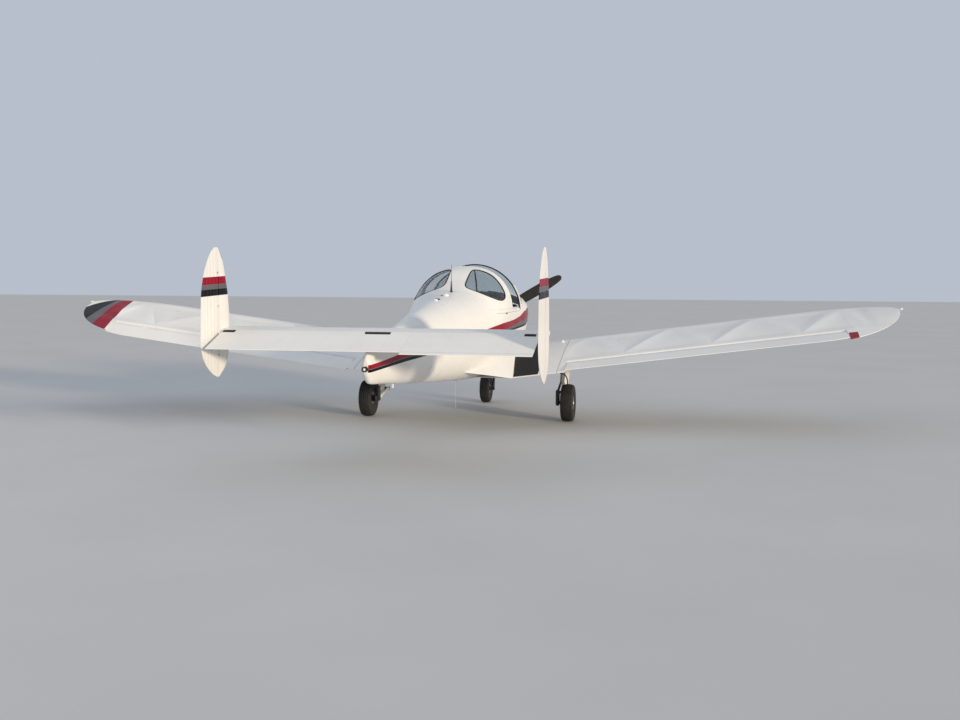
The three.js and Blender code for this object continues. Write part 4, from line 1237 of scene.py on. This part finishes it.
fin_curve = Curve([
    (751, -3578, -3622), (775, -3534, -3690), (815, -3466, -3765), (875, -3411, -3845),
    (950, -3381, -3897), (1060, -3363, -3920), (1230, -3363, -3912), (1400, -3383, -3903),
    (1560, -3433, -3858), (1700, -3485, -3772), (1775, -3546, -3695), (1805, -3578, -3640),
])
FIN_DEPTH = 557


def fin_thick(front, back):
    return FIN_HALF * (0.3 + 0.7 * (front - back) / FIN_DEPTH)


def fixed_outline(front, back, half, back_half, n=14):
    """A round front edge swelling to its full half thickness and easing to the back."""
    length = front - back
    end = back_half / half
    curve = Curve([(0, 0.02), (0.015, 0.28), (0.06, 0.52), (0.2, 0.82), (0.45, 1.0), (1.0, end)])
    shares = [(k / n) ** 1.8 for k in range(n + 1)]
    up = [(front - s * length, half * float(curve.at(s)[0])) for s in shares[1:]]
    return [(front, 0), *up, *[(y, -h) for y, h in up[::-1]]]


def flap_outline(nose, depth):
    """The outline of a rudder or the elevator, about its hinge."""
    turns = (-pi / 2 + pi * k / 12 for k in range(13))
    ring = [(nose * cos(t), nose * sin(t)) for t in turns]
    top = [(-depth * u, nose + (TAIL_EDGE / 2 - nose) * u) for u in (0.3, 0.65, 1)]
    return ring + top + [(y, -h) for y, h in top[::-1]]


def tail_block(build, x, half, back, front, z, tall):
    """A block about the tail's hinge line."""
    y = TAIL_HINGE_Y
    return build.block(x - half, x + half, y + back, y + front, z - tall, z + tall)


FIN_RUNS = ((751, 815, 8), (815, 1700, 40), (1700, 1775, 12), (1775, 1805, 5))
fin_heights = sorted({z for run in FIN_RUNS for z in steps(*run)})
for name, side in SIDES:
    fin_rings, rudder_rings = [], []
    x = side * FIN_X
    for z in fin_heights:
        front, back = fin_curve.at(z)
        half = fin_thick(front, back)
        if z in (fin_heights[0], fin_heights[-1]):
            half *= 0.6
        nose = half * 0.8
        fixed = fixed_outline(front, TAIL_HINGE_Y + nose + RUN_GAP, half, nose)
        fin_rings.append([(x + h, y, z) for y, h in fixed])
        moving = flap_outline(nose, TAIL_HINGE_Y - back)
        rudder_rings.append([(x + h, TAIL_HINGE_Y + y, z) for y, h in moving])
    Build().loft(fin_rings).make("fin_skin_" + name, ("fin",), node="fin_" + name)
    node = "rudder_" + name
    rudder = Build().loft(rudder_rings).make("rudder_skin_" + name, ("fin",), node, node)
    carve(rudder, [tail_block(Build(), x, 60, -16, 60, z, 9).tool() for z in FIN_HINGES])
    hinge = Build()
    for z in FIN_HINGES:
        tail_block(hinge, x, 9, -10, 30, z, 3)
        hinge.rod((x, TAIL_HINGE_Y, z - 9), (x, TAIL_HINGE_Y, z + 9), 5)
    hinge.make("rudder_brackets_" + name, ("metal",))

stab_half, tail_nose = 30, 12
stab_outline = fixed_outline(-3150, TAIL_HINGE_Y + tail_nose + RUN_GAP, stab_half, tail_nose)
places = steps(-FIN_X + 12, FIN_X - 12, 60)
rings = [[(x, y, TAIL_HINGE_Z + h) for y, h in stab_outline] for x in places]
Build().loft(rings).make("stabilizer_skin", ("fin",), node="stabilizer")


def drooped(x, y, h):
    c, s = cos(ELEVATOR_DROOP), sin(ELEVATOR_DROOP)
    return (x, TAIL_HINGE_Y + y * c + h * s, TAIL_HINGE_Z + y * s + h * c)


TAB_X = 290  # the elevator is deeper to the right of this
elevator_runs = [(x, ELEVATOR_DEPTH) for x in [*steps(-1292, TAB_X - 3, 60), TAB_X]]
elevator_runs += [(x, ELEVATOR_DEEP) for x in [TAB_X + 0.2, *steps(TAB_X + 3, 1312, 60)]]
elevator = Build().loft([
    [drooped(x, y, h) for y, h in flap_outline(tail_nose, depth)] for x, depth in elevator_runs
]).make("elevator_skin", ("elevator",), "elevator", "elevator")
TAIL_HINGES = ((-1236, 56), (16, 108), (1240, 47))  # x, and half the slot's width
slots = [tail_block(Build(), x, half, -44, 42, TAIL_HINGE_Z, 42) for x, half in TAIL_HINGES]
carve(elevator, [slot.tool() for slot in slots])
hinge = Build()
for x, half in TAIL_HINGES:
    tail_block(hinge, x, 3, -10, 30, TAIL_HINGE_Z, 9)
    hinge.rod(*((x + s * (half - 1), TAIL_HINGE_Y, TAIL_HINGE_Z) for s in (-1, 1)), 9.5)
    # painted shade: a dark plate across each slot, just behind the stabilizer's rear face, stands
    # in for the shade in the slot
    tail_block(hinge, x, half - 5, 11, 15, TAIL_HINGE_Z, 11)
hinge.make("elevator_brackets_and_slot_shade", ("steel",))


# Propeller and spinner

# Radius, width, thickness and pitch in degrees
blade_curve = Curve([
    (40, 96, 46, 45), (170, 118, 34, 40), (360, 146, 22, 29), (600, 140, 15, 21),
    (800, 104, 10, 16), (872, 66, 6, 14), (890, 26, 4, 14),
])
blade_radii = [*steps(40, 850, 24), 862, 872, 878, 883, 887, 890]


def blade(turn, grow=0):
    """A blade that points up and is then turned to the side."""
    rings = []
    for radius in blade_radii:
        width, thick, pitch = blade_curve.at(radius)
        lean = radians(pitch)
        ring = []
        for t in (2 * pi * k / 28 for k in range(28)):
            wide = 0.5 * cos(t) * (width + 2 * grow)
            deep = (0.5 if sin(t) > 0 else 0.36) * sin(t) * (thick + 2 * grow)
            across = wide * cos(lean) - deep * sin(lean)
            ring.append((
                radius * sin(turn) + across * cos(turn),
                PROP_Y - wide * sin(lean) - deep * cos(lean),
                PROP_Z + radius * cos(turn) - across * sin(turn),
            ))
        rings.append(ring)
    return Build().loft(rings)


BLADE_TURNS = (radians(60), radians(240))
prop = Build()
for turn in BLADE_TURNS:
    one = blade(turn)
    prop.add(one.points, one.faces)
prop.rod((0, PROP_Y - 42, PROP_Z), (0, PROP_Y + 32, PROP_Z), 78, sides=48)  # hub
prop.make("propeller_blades", ("blade",), "propeller", "propeller", weld=0)
spin_profile = Curve([(-50, 134), (-20, 134), (30, 122), (78, 94), (118, 52), (130, 26), (136, 2)])
heights = [*steps(-50, 118, 7), 122, 126, 129, 132, 134, 135.5, 136]
profile = [(0.01, -50), *((float(spin_profile.at(h)[0]), h) for h in heights), (0.01, 136)]
spinner = Build().turned(profile, (0, PROP_Y, PROP_Z), (0, 1, 0), 72, closed=False)
spinner = spinner.make("spinner_skin", ("root",), "propeller", "spinner")
carve(spinner, [blade(turn, 3).tool() for turn in BLADE_TURNS])


# Wheels


GROOVES = (-0.72, -0.36, 0, 0.36, 0.72)  # as shares of half the tread's width
GROOVE_DEPTH = 7


def tyre(name, body, node, centre, diameter, width, rim):
    """A tyre with five grooves round its tread."""
    depth = diameter / 2 - rim
    shape = Curve([(0, 0.7), (0.22, 0.9), (0.5, 1), (0.74, 0.985), (0.9, 0.86), (1, 0.5)])
    heights = [k / 12 * 0.9 for k in range(13)]
    half = [(rim + t * depth, float(shape.at(t)[0]) * width / 2) for t in heights]
    wall, edge = half[:-1], half[-1][1]
    edges = [g + d for g in GROOVES for d in (-0.075, -0.055, 0.055, 0.075)]
    tread = []
    for m in sorted({*np.linspace(1, -1, 25).tolist(), *edges}, reverse=True):
        crown = rim + depth * (1 - 0.1 * abs(m) ** 2.4)
        dip = GROOVE_DEPTH if any(abs(m - g) < 0.06 for g in GROOVES) else 0
        tread.append((crown - dip, edge * m))
    outline = wall + tread + [(r, -h) for r, h in wall[::-1]]
    Build().turned(outline, centre, (1, 0, 0), 96).make(name, ("tyre",), body, node, sharp=32)


def rim(name, body, node, centre, side, rim_radius, width, hub_radius, disc):
    """A wheel's rim and disc with six bolts; its inner side is dark."""
    edge = 0.36 * width
    # (radius from the rim's, place past the outer edge), then the same from the hub's
    rim_outer = ((-1, -6), (3, -2), (4, 2), (-1, 4), (-9, 1), (-13, -10), (-18, -22))
    hub_outer = ((12, -24), (4, -18), (0, -4), (0, 8), (-3, 11), (-8, 12), (-10, 8))
    profile = [
        (rim_radius - 1, -edge),
        *((rim_radius + r, edge + h) for r, h in rim_outer),
        *((hub_radius + r, edge + h) for r, h in hub_outer),
        (10, edge + 7), (10, -disc), (hub_radius, -disc), (hub_radius + 4, -edge + 24),
        (rim_radius - 18, -edge + 20), (rim_radius - 10, -edge),
    ]
    build = Build().turned(profile, centre, (side, 0, 0), 72)
    reach = (rim_radius - 18 + hub_radius + 12) / 2
    for t in (2 * pi * k / 6 + 0.3 for k in range(6)):
        at = Vector(centre) + Vector((side * (edge - 24), reach * cos(t), reach * sin(t)))
        build.rod(at, at + Vector((side * 8, 0, 0)), 6, sides=6)
    for k, face in enumerate(build.faces):
        out = sum(side * (build.points[p][0] - centre[0]) for p in face) / len(face)
        build.kinds[k] = 1 if out < 8 - edge else 0
    build.make(name, ("rim", "steel"), body, node, sharp=30)


FLAT = cos(pi / 24)  # the solid tyres stand on a flat of their 24 sides
MAIN_TYRE, NOSE_TYRE = 408, 352  # diameters
MAIN_X = 1125
NOSE_Y = 1640
main_axle = MAIN_TYRE / 2 * FLAT
nose_axle = NOSE_TYRE / 2 * FLAT
for name, side in SIDES:
    body = "main_wheel_" + name
    centre = (side * MAIN_X, 0, main_axle)
    tyre("main_tyre_" + name, body, body + "_tyre", centre, MAIN_TYRE, 138, 80)
    rim("main_rim_" + name, body, body + "_rim", centre, side, 80, 138, 36, 82)
nose_centre = (-86, NOSE_Y, nose_axle)
tyre("nose_tyre", "nose_wheel", "nose_wheel_tyre", nose_centre, NOSE_TYRE, 118, 66)
rim("nose_rim", "nose_wheel", "nose_wheel_rim", nose_centre, -1, 66, 118, 30, 55)

# Legs, links and brakes

LEG_Y = 300
LINK_X = 1012
PIVOT_Z = 285
leg_curve = Curve([  # height, and where the inner and the outer face stand
    (168, 1062, 1084), (215, 1044, 1086), (279, 1016, 1090),
    (380, 1018, 1092), (520, 1028, 1112), (740, 1032, 1140),
])
hose_points = Curve([
    (0, 1050, 24, 520), (1, 1064, 52, 510), (2, 1084, 106, 486),
    (3, 1096, 166, 440), (4, 1094, 204, 390), (5, 1082, 217.5, 350),
])
# Each rod of a main gear link: from, to, radius and sides, on the right side.
LINK_RODS = (
    ((LINK_X - 44, LEG_Y, PIVOT_Z), (LINK_X + 60, LEG_Y, PIVOT_Z), 16, 32),  # pivot
    ((LINK_X - 40, LEG_Y, PIVOT_Z), (LINK_X - 46, LEG_Y, PIVOT_Z), 20, 6),
)
LINK_PATH = (
    (LINK_X - 30, LEG_Y, PIVOT_Z), (LINK_X - 26, 200, 262), (LINK_X - 14, 100, 232),
    (LINK_X, 0, main_axle),
)
LINK_MORE_RODS = (
    ((LINK_X - 6, -70, 186), (LINK_X + 1, -70, 186), 6, 6),  # bolts
    ((LINK_X - 6, -70, 218), (LINK_X + 1, -70, 218), 6, 6),
    ((LINK_X, 0, 320), (1046, 10, 424), 12, 24),  # shock absorber
    ((1046, 10, 412), (1052, 30, 640), 10, 24),
    ((1049, 22, 520), (1051.5, 29, 640), 14, 32),
    ((1048.8, 21.6, 514), (1049.2, 22.3, 526), 17, 32),
)
for name, side in SIDES:
    rings = []
    for z in [168, 170, 175, *steps(182, 640, 14)]:
        inner, outer = leg_curve.at(z)
        inset = max(0, 175 - z) * 1.2
        half, middle = (outer - inner) / 2 - inset * 0.3, (inner + outer) / 2
        flat = fixed_outline(LEG_Y + 75 - inset, LEG_Y - 75 + inset, half, 2.2, 22)
        rings.append([(side * (middle + h), y, z) for y, h in flat])
    leg = Build().loft(rings)
    leg.make("main_leg_fairing_" + name, ("body",), node="main_leg_" + name, sharp=50)
    def at(point):
        return (side * point[0], *point[1:])

    link = Build()
    for a, b, radius, sides in LINK_RODS:
        link.rod(at(a), at(b), radius, sides=sides)
    link.tube([at(p) for p in LINK_PATH], [18, 15, 15, 17], 24, kind=1)
    link.rod(at((LINK_X - 20, 0, main_axle)), at((MAIN_X + 56, 0, main_axle)), 14, sides=32)
    link.soft(*sorted((side * (LINK_X - 20), side * (LINK_X + 20))), -32, 30, 172, 338, 9)
    link.soft(*sorted((side * LINK_X, side * 1033)), -84, -30, 172, 232, 8)
    for a, b, radius, sides in LINK_MORE_RODS:
        link.rod(at(a), at(b), radius, sides=sides)
    hose = Build().tube([at(hose_points.at(t)) for t in steps(0, 5, 0.2)], 6.5, 16)
    hose.make("brake_hose_" + name, ("seal",))
    link.make("trailing_arm_" + name, ("steel", "body"), node="trailing_link_" + name)

STEER_AXIS = ((0, STEER_Y, 0), UP)
fork = Build().rod((0, STEER_Y, 700), (0, STEER_Y, 396), 22, sides=40)
collar = [(22, 382), (30, 382), (32, 386), (32, 408), (30, 412), (22, 412)]
fork.turned(collar, *STEER_AXIS, 40)
path = [(0, STEER_Y, 396), (2, 1690, 330), (2, 1668, 262), (0, NOSE_Y, nose_axle)]
fork.tube(path, [18, 16, 16, 19], 24)
for x0, x1, radius, sides in ((18, -18, 24, 32), (20, 15, 15, 6), (0, -134, 12, 24)):
    fork.rod((x0, NOSE_Y, nose_axle), (x1, NOSE_Y, nose_axle), radius, sides=sides)
fork.make("nose_fork_arm", ("steel",), "nose_fork", "nose_fork")
tube = [(22.8, 420), (33, 420), (34, 424), (34, 560), (30, 566), (30, 824), (22.8, 824)]
leg = Build().turned(tube, *STEER_AXIS, 40)
for s in (-1, 1):
    leg.rod((s * 26, STEER_Y - 30, 664), (s * 215, FIREWALL_Y + 1, 640), 12.5, sides=24)
    leg.rod((s * 214, FIREWALL_Y + 1, 640), (s * 214, FIREWALL_Y + 8, 640), 24, sides=24)
leg.make("nose_leg_tube", ("steel",), node="nose_leg")

# Tail light, tie-down and antennas

lamp_centre = (0, 0, 862)
bezel = [
    (14.5, -3942), (17, -3944.5), (20, -3944), (21.5, -3941), (21.5, -3886), (14.5, -3886)
]
lens = [(0.01, -3943), (6, -3942), (10, -3939), (14, -3933), (14, -3890), (0.01, -3890)]
light = Build().turned(bezel, lamp_centre, AHEAD, 40).turned(lens, lamp_centre, AHEAD, 40, kind=1)
light.make("tail_lamp", ("seal", "lamp"), node="tail_light")
Build().soft(-8, 8, -3116, -3100, 640, 706, 3).make("tail_tie_down", ("body",))


def on_deck(build, x, y, profile, sides, down=0):
    """A profile of (radius, height) turned upright on the cabin top."""
    return build.turned(profile, (x, y, cabin_z(y, x) - down), UP, sides)


WHIP_TOP = 1690 + 4 - cabin_z(-900, 20)
whip = [
    (0.01, 0), (17, 0), (17, 6), (12, 12), (9, 50), (5, 112), (2.4, 122), (1.8, WHIP_TOP),
    (0.01, WHIP_TOP),
]
on_deck(Build(), 20, -900, whip, 20, down=4).make("whip_antenna", ("plastic",))
round_dome = [(0.01, -8), (29, -8), (29, 2), (27, 9), (21, 16), (12, 20), (0.01, 21.5)]
flat_dome = [(0.01, -6), (20, -6), (20, 3), (17, 10), (9, 15), (0.01, 16)]
domes = on_deck(Build(), 20, -1150, round_dome, 32)
on_deck(domes, -2, -1500, flat_dome, 28).make("antenna_domes", ("body",))
vent_z = cabin_z(-1440, 0)
vents = Build().soft(-23, 23, -1452, -1428, vent_z - 8, vent_z + 11, 5)
knob = [(0.01, -6), (9, -6), (9, 6), (5, 9), (0.01, 9)]
on_deck(vents, -20, -1160, knob, 20).make("cabin_vents", ("plastic",))
belly = Build().rod((0, -590, 500), (0, -590, 172), 2.6, 1.8, sides=12)
foot = [(0.01, 470), (14, 470), (12, 476), (12, 500), (0.01, 500)]
belly.turned(foot, (0, -590, 0), UP, 24).make("belly_antenna", ("metal",))
latch = Build()
latch_x = cabin_x(-430, 1184)
for _, s in SIDES:
    latch.soft(*sorted((s * (latch_x - 8), s * (latch_x + 4))), -470, -392, 1177, 1190, 3)
latch.make("side_latches", ("plastic",))

# Remaining CAD nodes keep their shapes and get their materials.
kept = {
    "tip_light_left": "body", "tip_light_right": "body", "seat_frame": "metal",
    "instrument_panel": "panel", "firewall": "metal", "engine_block": "engine",
}
for name, key in kept.items():
    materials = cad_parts[name].data.materials
    materials.clear()
    materials.append(mats[key])


# Dials and control wheels

FACE_Y = PANEL_Y + 12
DIAL_ROWS = (  # x of each dial, height and radius
    ((-330, -236, -142, 142, 236, 330), 1150, 38),
    ((-66, 0, 66), 1052, 30),
    ((-50, 50), 1140, 30),
)
BACK = (0, -1, 0)
dials = Build()
for row, z, r in DIAL_ROWS:
    bezel = [(r - 6, 3), (r - 4, 6), (r, 5), (r + 2, 0), (r + 2, -0.5), (r - 6, -0.5)]
    disc = [(0.01, -0.4), (r - 6, -0.4), (r - 6, 1.2), (0.01, 1.2)]
    for x in row:
        dials.turned(bezel, (x, FACE_Y, z), BACK, 40).turned(disc, (x, FACE_Y, z), BACK, 32, kind=1)
        lines = [(pi / 6 * k, (r - 9, r - 12 if k % 3 else r - 15), 0.9, 1.4) for k in range(12)]
        lines.append((0.7 + x / 90, (-5, r - 13), [1.4, 0.6], 2))  # hand
        for t, ends, thick, out in lines:
            path = [(x + sin(t) * q, FACE_Y - out, z + cos(t) * q) for q in ends]
            dials.tube(path, thick, 6, kind=2)
for x in range(-62, 64, 25):
    knob = [(x, FACE_Y, 975), (x, FACE_Y - 14, 975), (x, FACE_Y - 22, 971)]
    dials.tube(knob, [7, 4, 3], 12)
dials.make("instrument_dials", ("plastic", "dial", "mark"))

GRIP_RADIUS = 131
for name, side in SIDES:
    middle = Vector((side * 235, PANEL_Y - 90, 1060))
    turns = [2 * pi * k / 72 for k in range(72)]
    grip = circle(middle, GRIP_RADIUS, Vector((1, 0, 0)), Vector((0, 0, 1)), 72)
    wheel = Build().tube(grip, [9 + 1.2 * abs(cos(t)) for t in turns], 14, closed=True)
    for s in (-1, 1):
        wheel.tube([middle + Vector((s * d, 0, 0)) for d in (20, 70, 126)], [10, 7, 8], 16)
    hub = [(0.01, -14), (24, -14), (30, -8), (30, 6), (22, 12), (0.01, 12)]
    wheel.turned(hub, middle, BACK, 40)
    wheel.rod(middle, (middle[0], FACE_Y - 0.5, middle[2]), 15.5, sides=32)
    wheel.make("control_yoke_" + name, ("plastic",), node="control_wheel_" + name)


# Seats

VOXEL = 0.008
CLOTH_FRAMES = 20
CLOTH = {
    "use_pressure": True, "uniform_pressure_force": 4, "quality": 4, "mass": 0.3,
    "tension_stiffness": 12, "bending_stiffness": 1.0,
}


def points_of(mesh, what="co"):
    flat = np.empty(len(mesh.vertices) * 3)
    mesh.vertices.foreach_get(what, flat)
    return flat.reshape(-1, 3)


def swell(made, cap):
    """Blows a closed form up as cloth under pressure, each point moving no more than cap metres."""
    step = made.modifiers.new("mesh", "REMESH")
    step.mode = "VOXEL"
    step.voxel_size = VOXEL
    evaluated(made)
    start = points_of(made.data)
    step = made.modifiers.new("cloth", "CLOTH")
    for key, value in CLOTH.items():
        setattr(step.settings, key, value)
    step.settings.effector_weights.gravity = 0
    step.point_cache.frame_start = 1
    step.point_cache.frame_end = CLOTH_FRAMES
    for number in range(1, CLOTH_FRAMES + 1):
        scene.frame_set(number)
    evaluated(made)
    scene.frame_set(1)
    end = points_of(made.data)
    move = end - start
    far = np.linalg.norm(move, axis=1, keepdims=True)
    end = start + move * np.minimum(1, cap / np.maximum(far, 1e-9))
    made.data.vertices.foreach_set("co", end.ravel())
    step = made.modifiers.new("finer", "SUBSURF")
    step.levels = step.render_levels = 1
    evaluated(made)


GROOVE_COUNT = 4
SEAM_DEPTH = 0.007
SEAT_FLOOR_Z = 0.7005


def pad(name, outline_yz, x0, x1, node, face):
    """A seat pad with sewn grooves in the side that points along face."""
    middle = np.mean(outline_yz, axis=0)
    rings = []
    ends = ((0, 16), (5, 7), (14, 1))  # the rounding of the pad's sides: from the side, and inward
    runs = [(x0 + at, inset) for at, inset in ends]
    runs += [(x, 0) for x in steps(x0 + 24, x1 - 24, 30)]
    runs += [(x1 - at, inset) for at, inset in ends[::-1]]
    for x, inset in runs:
        rings.append([(x, y, z) for y, z in grown(outline_yz, middle, -inset)])
    made = Build().loft(rings).make(name, ("seat",), node=node)
    swell(made, 0.012)
    mesh = made.data
    spots = points_of(mesh)
    facing = np.clip(points_of(mesh, "normal") @ np.array(face), 0, 1)
    along = np.cross(face, (1, 0, 0))
    reach = spots @ along
    low, high = reach.min() + 0.07, reach.max() - 0.07
    inside = np.clip((reach - low) / 0.02, 0, 1) * np.clip((high - reach) / 0.02, 0, 1)
    dip = np.zeros(len(spots))
    x = spots[:, 0] * 1000
    for k in range(1, GROOVE_COUNT + 1):
        line = x0 + (x1 - x0) * k / (GROOVE_COUNT + 1)
        dip = np.maximum(dip, np.exp(-(((x - line) / 7) ** 2)))
    across = np.clip((x - x0 - 60) / 20, 0, 1) * np.clip((x1 - 60 - x) / 20, 0, 1)
    for end in (low, high):
        seam = np.exp(-(((reach - end) / 0.006) ** 2)) * across
        dip = np.maximum(dip * inside, seam)
    spots = spots - np.array(face) * (SEAM_DEPTH * dip * facing**2)[:, None]
    spots[:, 2] = np.maximum(spots[:, 2], SEAT_FLOOR_Z)
    mesh.vertices.foreach_set("co", spots.ravel())
    mesh.update()
    mesh.shade_smooth()
    return made


def piping(name, made, loop):
    """A sewn cord that lies on a pad along a closed loop of points."""
    tree = BVHTree.FromObject(made, bpy.context.evaluated_depsgraph_get())
    path = []
    for p in loop:
        found = tree.find_nearest(Vector(place(p)))[0]
        path.append((found[0] * 1000, found[1] * 1000 - SHIFT, found[2] * 1000))
    Build().tube(path, 4, 10, closed=True).make(name, ("piping",))


# Each pad's outline, the way its sewn face points, and its piping: from and to, and the
# points that the piping lies near.
PIPING_ROUND = 45
PADS = {
    "seat_cushion": (
        [
            (-466, 706), (-467, 770), (-452, 788), (-300, 793), (120, 805),
            (152, 795), (168, 766), (170, 706), (-150, 706),
        ],
        (0, 0, 1), (-468, 172), lambda x, y: (x, y, 800),
    ),
    "seat_back": (
        [
            (-494, 712), (-576, 712), (-600, 850), (-664, 1182),
            (-656, 1200), (-620, 1202), (-606, 1186), (-560, 950),
        ],
        (0, 0.974, 0.226), (720, 1204), lambda x, z: (x, -486 - (z - 712) * 0.235, z),
    ),
}
for name, side in SIDES:
    x0, x1 = sorted((side * 8, side * 408))
    x0, x1 = x0 + 10, x1 - 10
    for kind, (outline, face, ends, spot) in PADS.items():
        made = pad(kind + "_" + name, outline, x0, x1, kind, face)
        r = PIPING_ROUND
        turns = corner_turns(x0 - 4, x1 + 4, *ends, r, 6)
        loop = [spot(x + r * cos(a), u + r * sin(a)) for x, u, a in turns]
        piping(kind + "_piping_" + name, made, loop)


# Floor, light and sky


def floor_shader():
    made = Shader("floor")
    made.rough(0.7, 0.8, 3)
    return made.painted(made.mottled((0.6, 0.59, 0.57), 0.03, 0.6))


mats["floor"] = floor_shader()
floor = Build().block(-60000, 60000, -60000, 60000, -20, 0).make("floor", ("floor",), body=None)


def lamp(name, kind, at, **settings):
    """A light that points at the aircraft."""
    data = bpy.data.lights.new(name, kind)
    for key, value in settings.items():
        setattr(data, key, value)
    made = bpy.data.objects.new(name, data)
    made.location = at
    made.rotation_mode = "QUATERNION"
    made.rotation_quaternion = (Vector((0, 0, 1)) - Vector(at)).to_track_quat("-Z", "Y")
    scene.collection.objects.link(made)


lamp("key", "SUN", (11, -8.5, 3.3), energy=2.9, color=(1, 0.84, 0.63), angle=radians(6))
lamp("fill", "AREA", (-9, -9, 9), energy=260, color=(0.85, 0.92, 1), size=9)
world = bpy.data.worlds.new("studio")
world.use_nodes = True
scene.world = world
color, strength = world.node_tree.nodes["Background"].inputs[:2]
color.default_value = (0.79, 0.87, 1, 1)
strength.default_value = 0.6
scene.view_settings.view_transform = "Standard"
